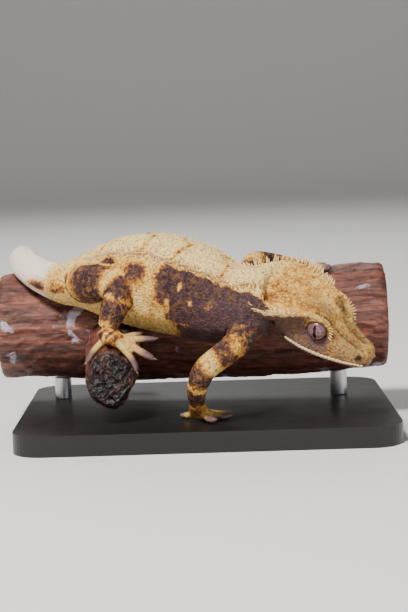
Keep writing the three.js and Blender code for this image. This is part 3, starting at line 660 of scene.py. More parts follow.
def near_line(points, line):
    """Distance from each point to a polyline."""
    best = np.full(len(points), np.inf)
    for a, b in zip(line[:-1], line[1:]):
        way = b - a
        t = np.clip((points - a) @ way / max(way @ way, 1e-9), 0, 1)
        best = np.minimum(best, np.linalg.norm(points - a - t[:, None] * way, axis=1))
    return best


def mouth_line(side):
    """Between the lips, from the snout to the corner of the mouth."""
    return [skin_point(s, 4, side)[0] for s in np.linspace(0.2, 8.3, 40)]


def ear_slit(side):
    """The upper and lower end of an ear opening."""
    return [skin_point(EAR_STATION, row, side)[0] for row in (1.9, 2.6)]


def snout_furrow(side):
    """The groove from the inner side of the eye to behind the nostril."""
    return [skin_point(s, 0.55, side)[0] for s in (6.3, 5.5, 4.5, 3.5, 2.5)]


def brow_hollow(side):
    """The hollow of the crown behind the eye's dome."""
    return [skin_point(s, 0.45, side)[0] for s in (8.6, 8.0, 7.4)]


def from_nostril(points, side):
    """Distance from each point to a nostril."""
    forward, out, up = NOSTRIL
    return np.linalg.norm(points - head_point(forward, out * side, up), axis=1)


# Folds of the neck and flank: station, reach, degrees up where they end, degrees over which they fade, depth,
# how closely they follow each other, slant
FOLDS = (
    (12.6, 1.0, 35, 30, 0.28, 15, 0.04),
    (16, 2.2, 25, 40, 0.10, 26, 0.03),
)


def carve_details(points, fields):
    """How far the skin moves out: mouth, nostrils, ears, snout furrows, brows and folds."""
    move = np.zeros(len(points))
    near = np.where((fields["head"] > 0.5) & (head_local(points)[:, 0] > MOUTH_BACK))[0]
    for side in (-1, 1):
        depth, reach = MOUTH_GROOVE
        move[near] -= depth * falloff(near_line(points[near], mouth_line(side)), reach)
        depth, reach = NOSTRIL_PIT
        nostril = from_nostril(points, side)
        move -= depth * falloff(nostril, reach)
        radius, height, reach = NOSTRIL_RING
        move += height * falloff(nostril - radius, reach)
        grooves = ((ear_slit, EAR_GROOVE), (snout_furrow, SNOUT_GROOVE), (brow_hollow, BROW_GROOVE))
        for line, (depth, reach) in grooves:
            move -= depth * falloff(near_line(points, line(side)), reach)
    station, around = fields["station"], fields["around"]
    trunk = (fields["head"] < 0.5) & (fields["limb"] < 0.5)
    for at, reach, top, fade, depth, pitch, slant in FOLDS:
        share = falloff(station - at, reach) * np.clip((top - around) / fade, 0, 1) * trunk
        move += depth * share * np.sin(station * pitch + slant * around)
    return move


def one_surface(points, faces):
    """The lofts joined into one closed mesh of even cells."""
    rough = bpy.data.meshes.new("gecko_lofts")
    rough.from_pydata(points.tolist(), [], faces)
    obj = add_object("gecko_lofts", rough)
    remesh = obj.modifiers.new("one_surface", "REMESH")
    remesh.mode = "VOXEL"
    remesh.voxel_size = VOXEL
    graph = bpy.context.evaluated_depsgraph_get()
    mesh = bpy.data.meshes.new_from_object(obj.evaluated_get(graph))
    bpy.data.objects.remove(obj)
    return mesh


def nearest_of(points, places):
    """For each place, the number of the point nearest to it."""
    tree = kdtree.KDTree(len(points))
    for i, p in enumerate(points):
        tree.insert(p, i)
    tree.balance()
    return np.array([tree.find(p)[1] for p in places])


def make_skin():
    """All the flesh as one surface, with its fields read from the lofts it was made of."""
    shape = Shape()
    add_body(shape)
    add_limbs(shape)
    add_eye_rims(shape)
    points, values = shape.arrays()
    mesh = one_surface(points, shape.faces)
    edges = edges_of(mesh)
    coords = smoothed(vertex_points(mesh), edges, SKIN_ROUNDS)
    for middle, reach in SOFT_JOINTS:
        near = falloff(np.linalg.norm(coords - middle, axis=1), reach, 4)[:, None]
        coords = coords * (1 - near) + smoothed(coords, edges, JOIN_ROUNDS) * near
    soft = smoothed(values[nearest_of(points, coords)], edges, FIELD_ROUNDS)
    fields = {name: soft[:, k] for k, name in enumerate(Shape.FIELDS)}
    mesh.vertices.foreach_set("co", coords.ravel())
    mesh.update()
    coords = coords + vertex_normals(mesh) * carve_details(coords, fields)[:, None]
    return mesh, coords, fields, edges


# Patches of the trunk: station, row, half length, half height, strength
DARK_PATCHES = [
    (17.2, 1.35, 0.30, 0.50, 0.62),
    (16.3, 1.60, 0.30, 0.36, 0.62),
    (15.1, 1.65, 0.42, 0.75, 0.66),
    (18.3, 1.70, 0.45, 0.60, 0.55),
    (14.9, 3.20, 0.20, 1.00, 0.36),
    (15.6, 3.60, 0.12, 0.70, 0.30),
    (16.3, 3.60, 0.12, 0.80, 0.26),
    (19.3, 2.60, 0.30, 0.60, 0.34),
    (20.1, 3.20, 0.50, 1.20, 0.40),
]
PALE_PATCHES = [
    (14.62, 1.65, 0.12, 0.16, 0.62),
    (14.15, 2.05, 0.09, 0.14, 0.66),
    (14.95, 2.30, 0.10, 0.30, 0.50),
    (13.65, 2.30, 0.22, 0.60, 0.26),
    (14.30, 4.20, 0.30, 0.90, 0.34),
    (13.10, 1.70, 0.15, 0.25, 0.20),
]
# Patches of each limb, in the order of LIMBS: way along it, half length, lift or drop of the tone
LIMB_PATCHES = [
    [(0.10, 0.12, -0.15), (0.33, 0.05, 0.12), (0.54, 0.055, 0.42), (0.66, 0.05, -0.18), (0.76, 0.03, 0.34),
     (0.86, 0.05, -0.20), (0.98, 0.05, 0.30)],
    [(0.20, 0.10, 0.30), (0.42, 0.06, -0.20), (0.58, 0.07, 0.35), (0.74, 0.05, -0.20), (0.95, 0.08, 0.30)],
    [(0.05, 0.10, 0.35), (0.28, 0.09, -0.24), (0.46, 0.05, 0.34), (0.60, 0.03, -0.16), (0.68, 0.03, 0.20),
     (0.82, 0.06, -0.18), (0.98, 0.06, 0.38)],
    [(0.15, 0.12, 0.36), (0.36, 0.07, -0.22), (0.55, 0.06, 0.34), (0.74, 0.06, -0.20), (0.97, 0.08, 0.36)],
]
# Thin brown lines across the back: station, how far a row slants them, strength
SADDLES = [(13.3, 0.10, 0.50), (14.9, 0.30, 0.48), (16.1, 0.15, 0.42), (17.6, 0.10, 0.36), (18.8, 0.10, 0.34)]
SADDLE_WIDTH = 0.07
# Stations where the dark chest ends and the creamy tail starts
CHEST_END = 14.7
TAIL_START = 20.4


def crest_row(s):
    """Row where the pale back ends; it sweeps down round the back of the head."""
    return 1.12 + 0.75 * falloff(s - 11.6, 0.8)


def trunk_tone(row, t, back):
    """Cream with a dark chest, dark and pale patches, and thin lines across the back."""
    chest = (1 - back) / (1 + np.exp((t - CHEST_END) / 0.10))
    streaks = 0.5 + 0.5 * np.sin(t * 21 + 1.5 * np.sin(row * 2))
    tone = 0.86 + 0.06 * back - (0.66 + 0.06 * np.clip(14 - t, 0, 1)) * chest
    tone -= (1 - back) * (1 - chest) * np.clip((row - 2.6) / 1.0, 0, 1) * 0.15 * streaks
    for at, level, wide, tall, depth in DARK_PATCHES:
        tone -= depth * blob(t, row, at, level, wide, tall) ** 0.7 * (1 - back)
    for at, level, wide, tall, lift in PALE_PATCHES:
        tone += lift * blob(t, row, at, level, wide, tall)
    for saddle, slant, depth in SADDLES:
        tone -= depth * falloff(t - saddle - slant * row, SADDLE_WIDTH) * back
    return tone


def limb_tone(f):
    """Brown with cream patches that slant round the limb."""
    way = f["limb_way"] + 0.02 * f["limb_turn"]
    tone = np.full(len(way), 0.40)
    for kind, patches in enumerate(LIMB_PATCHES, 1):
        mine = falloff(f["limb_kind"] - kind, 0.4, 4)
        for at, wide, lift in patches:
            tone += mine * lift * falloff(way - at, wide)
    return tone


def painted_shade_of_openings_and_grooves(points, head):
    """Painted shade in the mouth line, nostrils, ears and snout furrows."""
    dark = np.zeros(len(points))
    for side in (-1, 1):
        marks = (
            0.8 * falloff(near_line(points, mouth_line(side)), 0.6, 4) * head,
            falloff(from_nostril(points, side), 1.15, 4),
            0.9 * falloff(near_line(points, ear_slit(side)), 1.1, 4),
            0.92 * falloff(near_line(points, snout_furrow(side)), 1.25),
        )
        dark = np.maximum.reduce((dark, *marks))
    return dark


def lid_masks(points, side):
    """The lid round an eye, its upper part, and the line of painted shade where it meets the eyeball."""
    look, ahead, above = eye_axes(side)
    apart = points - eye_at(side)
    outer_side = apart @ look > 0
    out = np.hypot(apart @ ahead, apart @ above)
    lid = falloff(out - LID_RADIUS, 0.75) * outer_side
    upper = below(-(apart @ above), 0.6)
    return lid, upper, falloff(out - LID_RADIUS + 0.45, 0.3) * outer_side


def paint_fields(points, f):
    """tone: dark to cream; gold: yellow to orange tint; mauve: pinkish grey; plain: smooth creamy tail; dark:
    painted shade in openings, grooves and round the eyes.
    """
    s, row, side = f["station"], f["row"], f["side"]
    limb, toe, head = f["limb"], f["toe"], f["head"]
    local = head_local(points)
    trunk = np.clip((s - HEAD_END) * 2, 0, 1) * (1 - limb)

    # The left side's patches lie a little further back
    t = s - 0.3 * np.clip(side, 0, 1)
    back = below(row - crest_row(s) - 0.06 * np.sin(t * 9), 0.05)
    tone = trunk_tone(row, t, back)

    # Tail: creamy, with a brown patch under its base
    tail = np.clip((s - TAIL_START) / 0.5, 0, 1) * (1 - limb)
    tone = tone * (1 - tail) + tail * (0.9 - 0.62 * blob(s, row, 20.9, 3.6, 0.9, 1.9))

    # Head: golden top with a taupe crown, tan snout and taupe side
    golden = below(row - crest_row(s), 0.05)
    ridge = falloff(row - 0.98, 0.16)
    crown = blob(local[:, 0], local[:, 1], -1.5, 0, 6.0, 2.8) * golden * head
    snout = np.clip((local[:, 0] - 3) / 5, 0, 1)
    head_tone = np.maximum((0.62 + 0.16 * ridge) * golden, 0.40 + 0.22 * snout)
    tone = tone * (1 - head) + head_tone * head

    # Limbs and toes
    tone = tone * (1 - limb) + limb * (limb_tone(f) * (1 - toe) + 0.74 * toe)
    gold = 0.30 + 0.65 * head * golden + 0.35 * limb * (1 - toe)
    gold = gold * (1 - tail)

    # Mauve toe pads, throat and neck
    mauve = np.clip((toe - 0.45) * 1.8, 0, 1) * np.clip(0.25 + (f["limb_way"] - 0.35) / 0.3, 0.25, 0.95)
    throat = head * np.clip((-5.6 - local[:, 2]) / 1.5, 0, 1)
    neck = blob(s, row, 12.7, 4.4, 1.5, 2.4) * (1 - limb) * (1 - back)
    mauve = np.maximum(mauve, np.maximum(0.8 * throat, 0.85 * neck))

    # Painted shade in the openings and grooves; lids: gold above and mauve below, round a line of painted
    # shade where each meets its eyeball
    dark = painted_shade_of_openings_and_grooves(points, head)
    for eye_side in (-1, 1):
        lid, upper, line = lid_masks(points, eye_side)
        tone = tone * (1 - lid) + lid * (0.36 + 0.30 * upper)
        gold = gold * (1 - lid) + lid * upper
        mauve = np.maximum(mauve, 0.8 * lid * (1 - upper))
        golden = np.maximum(golden, lid)
        # Painted shade along the lid's inner edge
        dark = np.maximum(dark, 0.85 * line)
    return dict(
        tone=tone,
        gold=gold,
        mauve=mauve,
        plain=tail,
        dark=dark,
        rough=np.clip(1 - 0.75 * tail - 0.5 * toe, 0.15, 1),
        coarse=np.clip(golden * head + np.clip((f["around"] - 40) / 20, 0, 1) * trunk, 0, 1),
        taupe=np.maximum(head * (1 - golden) * (1 - snout), 0.75 * crown),
        snout=head * snout * (1 - 0.4 * golden),
    )


class Pieces:
    """Many small closed shapes gathered in one mesh, with a 0 to 1 way from root to tip."""

    def __init__(self):
        self.points = []
        self.ways = []
        self.faces = []

    def spine(self, root, direction, length, width, bend=0.0, sides=6, steps=4):
        """A pointed cone that bends towards its tip."""
        direction = unit(direction)
        across = unit(np.cross(direction, (0.3, 0.5, 0.81)))
        other = np.cross(direction, across)
        start = len(self.points)
        for k in range(steps):
            t = k / steps
            centre = root + direction * length * t + across * bend * t * t
            radius = width * (1 - t) ** 0.8
            for j in range(sides):
                a = 2 * math.pi * j / sides
                self.points.append(centre + (across * math.cos(a) + other * math.sin(a)) * radius)
                self.ways.append(t)
        tip = len(self.points)
        self.points.append(root + direction * length + across * bend)
        self.ways.append(1)
        self.faces += [(a, b, b + sides, a + sides) for a, b in ring_pairs(steps - 1, sides, start)]
        self.faces += [(a, b, tip) for a, b in ring_pairs(1, sides, tip - sides)]
        self.faces.append(tuple(start + j for j in reversed(range(sides))))

    def bead(self, centre, along, up, out, size, rows=5, sides=10):
        """A rounded scale with half sizes along, up and out."""
        start = len(self.points)
        for r in range(1, rows):
            polar = math.pi * r / rows
            for j in range(sides):
                a = 2 * math.pi * j / sides
                offset = (along * math.cos(a) * size[0] + up * math.sin(a) * size[1]) * math.sin(polar)
                self.points.append(centre + offset + out * math.cos(polar) * size[2])
                self.ways.append(0.5)
        self.points += [centre + out * size[2], centre - out * size[2]]
        self.ways += [1, 0]
        self.faces += globe_faces(rows, sides, start)

    def build(self, name):
        obj = new_object(name, self.points, self.faces)
        set_field(obj.data, "way", self.ways)
        return obj


def crest_spines():
    """Ragged rows of small spines along both edges of the head and the back."""
    pieces = Pieces()
    out, rise, back = CREST_LEAN
    for side in (-1, 1):
        for row_at, share, size in CREST_ROWS:
            width = CREST_WIDTH * (0.6 + 0.4 * size)
            s = CREST_START
            while s < TORSO_END + 0.3:
                centre, forward, up, left, _ = body_at(s)
                step = np.linalg.norm(body_at(s + 0.1)[0] - centre) / 0.1
                s += RANDOM.uniform(0.75, 1.15) / step / share
                crown = 0.95 + 0.65 * math.exp(-((s - 10.6) / 2.2) ** 2)
                crown += 0.25 * math.exp(-((s - 15) / 2.5) ** 2)
                fade = np.clip((TORSO_END + 1 - s) / 3.0, 0.3, 1)
                length = CREST_HEIGHT * size * crown * fade * RANDOM.uniform(0.7, 1.15)
                root, _ = skin_point(s, row_at + RANDOM.uniform(-0.05, 0.05), side, -0.25)
                lean = left * side * out + up * rise - forward * back + RANDOM.normal(0, 0.12, 3)
                pieces.spine(root, lean, length + 0.3, width, RANDOM.uniform(-0.15, 0.15))
    return pieces.build("crest_spines")


def lashes():
    """Pointed scales along the upper lid of each eye."""
    pieces = Pieces()
    for side in (-1, 1):
        look, ahead, above = eye_axes(side)
        middle = eye_at(side) + look * (LID_OUT + 0.15)
        for i in range(LASHES):
            a = math.radians(LASH_START + LASH_SPAN * i / (LASHES - 1) + RANDOM.uniform(-2, 2))
            out = ahead * math.cos(a) + above * math.sin(a)
            root = middle + out * (LID_RADIUS + 0.2)
            pieces.spine(root, out + look * RANDOM.uniform(0.4, 0.75), RANDOM.uniform(1.4, 2.2), 0.30, 0.1)
    return pieces.build("eye_lashes")


def lip_scales():
    """Rows of scales along both lips."""
    pieces = Pieces()
    for side in (-1, 1):
        for row, size in LIP_ROWS:
            s = LIP_START
            while s < LIP_END:
                here, normal = skin_point(s, row, side)
                ahead = skin_point(s + 0.05, row, side)[0]
                along = unit(ahead - here)
                up = np.cross(normal, along)
                shrink = 0.62 + 0.38 * math.exp(-((s - 4.8) / 2.6) ** 2)
                pieces.bead(here - normal * 0.12, along, unit(up), normal, tuple(k * shrink for k in size))
                s += LIP_SPACING * shrink / (np.linalg.norm(ahead - here) / 0.05)
    return pieces.build("lip_scales")


def claws():
    """A small hooked claw at the end of each toe."""
    pieces = Pieces()
    for limb in LIMBS.values():
        for path, flat in limb["toes"]:
            tip, before = np.array(path[-1]), np.array(path[-2])
            ahead = unit(tip - before)
            root = tip - ahead * 0.3 + flat * 0.15
            pieces.spine(root, ahead + flat * 0.35, CLAW_LENGTH, CLAW_WIDTH, -0.1, sides=7)
    return pieces.build("toe_claws")


def raised_scales(places, normals, fields):
    """Low raised scales scattered on the head's top, the back and the limbs."""
    pieces = Pieces()
    want = np.clip(fields["coarse"] + 0.12 * (1 - fields["plain"]), 0, 1)
    picks = np.where(RANDOM.random(len(places)) < want * GRANULE_SHARE)[0]
    for i in picks:
        big = RANDOM.uniform(0.18, 0.36) * (0.6 + 0.5 * want[i])
        normal = normals[i] + RANDOM.normal(0, 0.12, 3)
        pieces.spine(places[i] - normals[i] * 0.12, normal, big * 1.3 + 0.1, big, sides=5, steps=2)
    obj = pieces.build("raised_scales")
    each = len(pieces.points) // max(len(picks), 1)
    for name, values in fields.items():
        set_field(obj.data, name, np.repeat(values[picks], each))
    return obj


def eyeball(side, name):
    """A smooth ball whose fields say how far each point is ahead of and above its middle."""
    look, ahead, above = eye_axes(side)
    rows, sides = 40, 64
    centre = eye_at(side)
    points = []
    for r in range(1, rows):
        polar = math.pi * r / rows
        for j in range(sides):
            a = 2 * math.pi * j / sides
            d = look * math.cos(polar) + (ahead * math.cos(a) + above * math.sin(a)) * math.sin(polar)
            points.append(centre + d * (EYE_RADIUS - 0.02))
    points += [centre + look * EYE_RADIUS, centre - look * EYE_RADIUS]
    obj = new_object(name, points, globe_faces(rows, sides))
    local = (np.array(points) - centre) / EYE_RADIUS
    for field, axis in (("ahead", ahead), ("above", above)):
        set_field(obj.data, field, local @ axis)
    return obj


def wood_noise(p, scale):
    """Smooth noise in five layers at a point."""
    return noise.fractal(Vector(p * scale), 1.0, 2.0, 5)


def ring_mesh(name, rings):
    """A closed tube from rings, with a fan at each end."""
    n, m = rings.shape[:2]
    points = np.concatenate([rings.reshape(-1, 3), [rings[0].mean(0), rings[-1].mean(0)]])
    faces = [(b, a, a + m, b + m) for a, b in ring_pairs(n - 1, m)]
    last = (n - 1) * m
    for a, b in ring_pairs(1, m):
        faces.append((n * m, a, b))
        faces.append((n * m + 1, last + b, last + a))
    return new_object(name, points, faces)


def perch_log():
    """Weathered log with long furrows, knots and plain cut ends."""
    rings = []
    for x in np.linspace(LOG_LEFT[0], LOG_RIGHT[0], LOG_RINGS):
        inset = -0.9 * math.exp(-min(x - LOG_LEFT[0], LOG_RIGHT[0] - x) / 0.8)
        ring = []
        for k in range(LOG_SIDES):
            degrees = 360 * k / LOG_SIDES
            a = math.radians(degrees)
            spot = np.array([x * 0.045, math.cos(a) * 1.6, math.sin(a) * 1.6])
            furrow = -abs(wood_noise(spot, 2.2)) * 1.0 - 0.35 * abs(wood_noise(spot * (2.5, 2.8, 2.8), 2.0))
            lump = 0.5 * wood_noise(spot * (1.5, 0.6, 0.6), 1.0)
            ring.append(on_log(x, degrees, inset + np.clip(0.1 + furrow + lump, -2.2, 0.0)))
        rings.append(ring)
    rings = np.array(rings)
    left, right = (
        np.array([log_axis(x) * (1 - t) + ring * t for t in (0.02, 0.25, 0.5, 0.75, 0.92)])
        for x, ring in ((LOG_LEFT[0], rings[0]), (LOG_RIGHT[0], rings[-1]))
    )
    return ring_mesh("driftwood_log", np.concatenate([left, rings, right[::-1]]))


def perch_stub():
    """Branch stub with a dark broken end."""
    rings = []
    middle = np.array([STUB_X, STUB_FRONT, STUB_Z])
    turns = [360 * k / STUB_SIDES for k in range(STUB_SIDES)]
    for t in np.linspace(0.02, 1, 40):
        ring = []
        for degrees in turns:
            spot = middle * (1 - t) + on_stub(STUB_FRONT, degrees, -0.6) * t
            face = spot * (1, 0, 1)
            crag = 1.4 * abs(wood_noise(face, 0.35)) + 0.5 * abs(wood_noise(face, 1.2))
            ring.append(spot + np.array([0, 0.15 + crag + 1.5 * max(0, t - 0.8) ** 2 / 0.04, 0]))
        rings.append(ring)
    for y in np.linspace(STUB_FRONT + 1.8, STUB_BACK, 110)[1:]:
        ring = []
        for degrees in turns:
            a = math.radians(degrees)
            spot = np.array([math.cos(a) * 1.4, y * 0.06, math.sin(a) * 1.4])
            ring.append(on_stub(y, degrees, np.clip(-1.0 * abs(wood_noise(spot, 2.0)), -1.6, 0)))
        rings.append(ring)
    return ring_mesh("driftwood_stub", np.array(rings))


class Tree:
    """A small helper that adds and links shader nodes."""

    def __init__(self, tree):
        self.nodes = tree.nodes
        self.links = tree.links

    def add(self, kind, **settings):
        """A new node; each of its inputs is a socket to link from or a plain value."""
        inputs = settings.pop("inputs", {})
        node = self.nodes.new(kind)
        for key, value in settings.items():
            setattr(node, key, value)
        for key, value in inputs.items():
            if isinstance(value, bpy.types.NodeSocket):
                self.links.new(value, node.inputs[key])
            else:
                node.inputs[key].default_value = value
        return node

    def math(self, operation, a, b=0.0, clamp=False):
        node = self.add("ShaderNodeMath", operation=operation, use_clamp=clamp, inputs={0: a, 1: b})
        return node.outputs[0]

    def plus(self, a, b):
        return self.math("ADD", a, b)

    def minus(self, a, b):
        return self.math("SUBTRACT", a, b)

    def times(self, a, b):
        return self.math("MULTIPLY", a, b)

    def over(self, a, b):
        return self.math("DIVIDE", a, b)

    def vary(self, noise_value, amount):
        """A noise turned into a number round 0, at most half the amount from it."""
        return self.times(self.minus(noise_value, 0.5), amount)

    def mix(self, factor, a, b):
        """Colour a where the factor is 0 and b where it is 1."""
        return self.add("ShaderNodeMix", data_type="RGBA", inputs={0: factor, 6: a, 7: b}).outputs[2]

    def ramp(self, factor, stops):
        node = self.add("ShaderNodeValToRGB", inputs={0: factor})
        elements = node.color_ramp.elements
        while len(elements) < len(stops):
            elements.new(0.5)
        for element, (at, tint) in zip(elements, stops):
            element.position = at
            element.color = tint
        return node.outputs[0]

    def spread(self, value, low, high):
        """value from low to high as 0 to 1."""
        return self.add("ShaderNodeMapRange", inputs={0: value, 1: low, 2: high}).outputs[0]

    def attribute(self, name):
        return self.add("ShaderNodeAttribute", attribute_name=name).outputs["Fac"]

    def group(self, group, **inputs):
        return self.add("ShaderNodeGroup", node_tree=group, inputs=inputs).outputs

    def vector_math(self, operation, inputs):
        return self.add("ShaderNodeVectorMath", operation=operation, inputs=inputs).outputs[0]

    def bump(self, shader, height, strength, distance):
        """Raises the shader's surface by the height."""
        inputs = {"Height": height, "Strength": strength, "Distance": distance}
        node = self.add("ShaderNodeBump", inputs=inputs)
        self.links.new(node.outputs[0], shader["Normal"])

    def noise(self, vector, scale, detail=3.0, roughness=0.55, distortion=0.0):
        inputs = {
            "Vector": vector,
            "Scale": scale,
            "Detail": detail,
            "Roughness": roughness,
            "Distortion": distortion,
        }
        return self.add("ShaderNodeTexNoise", inputs=inputs).outputs[0]


def color(r, g, b):
    return (r, g, b, 1.0)


def new_group(name, inputs, outputs):
    """A shader node group with named sockets; returns its tree helper and the sockets to read and to fill."""
    group = bpy.data.node_groups.new(name, "ShaderNodeTree")
    for socket, kind in inputs:
        group.interface.new_socket(name=socket, in_out="INPUT", socket_type=kind)
    for socket, kind in outputs:
        group.interface.new_socket(name=socket, in_out="OUTPUT", socket_type=kind)
    tree = Tree(group)
    return group, tree, tree.add("NodeGroupInput").outputs, tree.add("NodeGroupOutput").inputs


FLOAT = "NodeSocketFloat"
VECTOR = "NodeSocketVector"
COLOR = "NodeSocketColor"


def granular_scales_group():
    """Small rounded scales: a height, a tint that differs from scale to scale, and the gaps between them."""
    group, t, given, out = new_group(
        "granular_scales",
        [("Vector", VECTOR), ("Size", FLOAT), ("Unevenness", FLOAT)],
        [("Height", FLOAT), ("Tint", FLOAT), ("Gap", FLOAT)],
    )
    scale = t.over(1.0, given["Size"])
    wobble = t.add("ShaderNodeTexNoise", inputs={"Vector": given["Vector"], "Scale": scale, "Detail": 1.0})
    shift = t.vector_math("SCALE", {0: wobble.outputs["Color"], 3: 0.0002})
    shifted = t.vector_math("ADD", {0: given["Vector"], 1: shift})
    cells = t.add("ShaderNodeTexVoronoi", inputs={"Vector": shifted, "Scale": scale}).outputs
    dome = t.math("POWER", t.minus(1.0, cells["Distance"]), 0.7)
    tint = t.add("ShaderNodeSeparateColor", inputs={0: cells["Color"]}).outputs[0]
    uneven = t.times(tint, given["Unevenness"])
    t.links.new(t.plus(dome, uneven), out["Height"])
    t.links.new(tint, out["Tint"])
    t.links.new(t.spread(cells["Distance"], 0.45, 0.85), out["Gap"])
    return group


def skin_markings_group():
    """Turns the skin's fields into the patchwork of dark, orange and cream."""
    amounts = [(name, FLOAT) for name in ("Tone", "Gold", "Mauve", "Plain", "Tint")]
    group, t, given, out = new_group(
        "skin_markings",
        [("Vector", VECTOR), *amounts],
        [("Color", COLOR), ("Pale", FLOAT)],
    )
    vector = given["Vector"]
    broad = t.noise(vector, 260.0, 4.0, 0.6)
    fine = t.noise(vector, 1300.0, 2.0, 0.6)
    edge = t.plus(t.vary(broad, 0.75), t.vary(fine, 0.35))
    quiet = t.minus(1.0, t.times(given["Plain"], 0.75))
    stipple = t.vary(given["Tint"], 0.10)
    tone = t.plus(given["Tone"], t.times(edge, quiet))
    tone = t.plus(tone, stipple)
    patches = t.ramp(tone, [
        (0.0, color(0.012, 0.005, 0.007)),
        (0.34, color(0.038, 0.017, 0.028)),
        (0.44, color(0.075, 0.028, 0.027)),
        (0.50, color(0.38, 0.13, 0.018)),
        (0.57, color(0.64, 0.32, 0.055)),
        (0.68, color(0.80, 0.49, 0.12)),
        (0.95, color(0.90, 0.68, 0.29)),
    ])
    pits = t.spread(t.noise(vector, 620.0, 3.0, 0.7), 0.48, 0.64)
    warmth = t.times(pits, given["Gold"])
    warm = t.mix(t.times(warmth, 0.85), patches, color(0.50, 0.22, 0.035))
    cloudy = t.times(t.noise(vector, 180.0, 2.0), 0.5)
    plain = t.mix(cloudy, color(0.86, 0.76, 0.65), color(0.70, 0.55, 0.44))
    plain_share = t.times(given["Plain"], t.spread(tone, 0.5, 0.7))
    smooth_tail = t.mix(plain_share, warm, plain)
    pinkish = t.mix(t.noise(vector, 500.0, 2.0), color(0.060, 0.034, 0.052), color(0.17, 0.110, 0.130))
    t.links.new(t.mix(given["Mauve"], smooth_tail, pinkish), out["Color"])
    t.links.new(t.spread(tone, 0.45, 0.65), out["Pale"])
    return group


def new_material(name, **settings):
    """A material with its shader; settings are socket values that are the same all over, _ for a space."""
    material = bpy.data.materials.new(name)
    material.use_nodes = True
    shader = material.node_tree.nodes["Principled BSDF"]
    for socket, value in settings.items():
        shader.inputs[socket.replace("_", " ")].default_value = value
    return material, Tree(material.node_tree), shader.inputs


def object_vector(t):
    return t.add("ShaderNodeTexCoord").outputs["Object"]


def skin_material(scales, markings):
    """Granular skin: markings, taupe head side, tan snout, pale flecks, and painted shade in the gaps between
    scales and in the openings and grooves.
    """
    material, t, shader = new_material(
        "gecko_skin",
        Roughness=0.62,
        Specular_IOR_Level=0.16,
        Subsurface_Weight=0.08,
        Subsurface_Radius=(0.0012, 0.0006, 0.0004),
        Subsurface_Scale=1.0,
    )
    vector = object_vector(t)
    grain = t.group(scales, Vector=vector, Size=FINE_SCALE, Unevenness=0.3)
    big = t.group(scales, Vector=vector, Size=COARSE_SCALE, Unevenness=0.6)
    fields = {name.title(): t.attribute(name) for name in ("tone", "gold", "mauve", "plain")}
    marks = t.group(markings, Vector=vector, Tint=grain["Tint"], **fields)
    taupe = t.mix(t.noise(vector, 400.0, 3.0), color(0.085, 0.045, 0.034), color(0.20, 0.115, 0.082))
    tan = t.mix(t.noise(vector, 350.0, 3.0), color(0.17, 0.085, 0.040), color(0.40, 0.235, 0.11))
    base = t.mix(t.times(t.attribute("taupe"), 0.85), marks["Color"], taupe)
    base = t.mix(t.times(t.attribute("snout"), 0.8), base, tan)
    flecks = t.times(t.spread(grain["Tint"], 0.60, 1.0), 0.22)
    flecks = t.times(flecks, t.minus(1.0, marks["Pale"]))
    base = t.mix(flecks, base, color(0.20, 0.125, 0.12))
    # Painted shade in the gaps between scales, stronger where the skin is rough
    shade = t.times(t.times(grain["Gap"], 0.60), t.attribute("rough"))
    base = t.mix(shade, base, color(0.10, 0.05, 0.03))
    # Painted shade: near black in the mouth line, nostrils, ears, snout furrows and where the lids meet the
    # eyeballs
    base = t.mix(t.attribute("dark"), base, color(0.02, 0.012, 0.012))
    t.links.new(base, shader["Base Color"])
    height = t.mix(t.attribute("coarse"), grain["Height"], big["Height"])
    t.bump(shader, height, t.times(t.attribute("rough"), 0.9), 0.00045)
    return material


def spine_material(root, tip, name):
    """Horn that pales from root to tip."""
    material, t, shader = new_material(
        name,
        Roughness=0.5,
        Subsurface_Weight=0.1,
        Subsurface_Radius=(0.001, 0.0006, 0.0004),
    )
    base = t.mix(t.spread(t.attribute("way"), 0.15, 0.9), root, tip)
    vary = t.mix(t.times(t.noise(object_vector(t), 700.0, 2.0), 0.5), base, color(0.55, 0.30, 0.10))
    t.links.new(vary, shader["Base Color"])
    return material


def lip_material():
    material, t, shader = new_material("lip_scales", Roughness=0.42)
    base = t.mix(t.noise(object_vector(t), 500.0, 2.0), color(0.80, 0.68, 0.45), color(0.50, 0.33, 0.19))
    t.links.new(base, shader["Base Color"])
    return material


def claw_material():
    material, t, shader = new_material("claw_horn", Roughness=0.3)
    base = t.mix(t.attribute("way"), color(0.30, 0.20, 0.17), color(0.09, 0.06, 0.05))
    t.links.new(base, shader["Base Color"])
    return material


def eye_material():
    """Mauve-pink iris with fine veins, a black upright slit and a rim of painted shade under the lid, all
    under a wet surface.
    """
    material, t, shader = new_material(
        "gecko_eye",
        Roughness=0.16,
        Specular_IOR_Level=0.22,
        Coat_Weight=0.22,
        Coat_Roughness=0.03,
    )
    ahead, above = t.attribute("ahead"), t.attribute("above")
    vector = object_vector(t)
    wave = t.vary(t.noise(vector, 1500.0, 2.0), 0.06)
    lean = t.times(above, 0.28)
    narrow = t.over(t.plus(t.plus(ahead, lean), wave), 0.15)
    tall = t.over(above, 0.66)
    slit = t.plus(t.times(narrow, narrow), t.times(tall, tall))
    radius = t.math("SQRT", t.plus(t.times(ahead, ahead), t.times(above, above)))
    veins = t.noise(vector, 1100.0, 5.0, 0.7, 1.2)
    iris = t.ramp(veins, [
        (0.30, color(0.060, 0.022, 0.026)),
        (0.48, color(0.16, 0.070, 0.078)),
        (0.62, color(0.30, 0.165, 0.175)),
        (0.75, color(0.10, 0.042, 0.050)),
    ])
    # Painted shade on the eyeball's edge, where the lid overhangs it
    base = t.mix(t.spread(radius, 0.74, 0.88), iris, color(0.015, 0.010, 0.014))
    base = t.mix(t.spread(slit, 1.15, 0.85), base, color(0.002, 0.002, 0.002))
    t.links.new(base, shader["Base Color"])
    return material


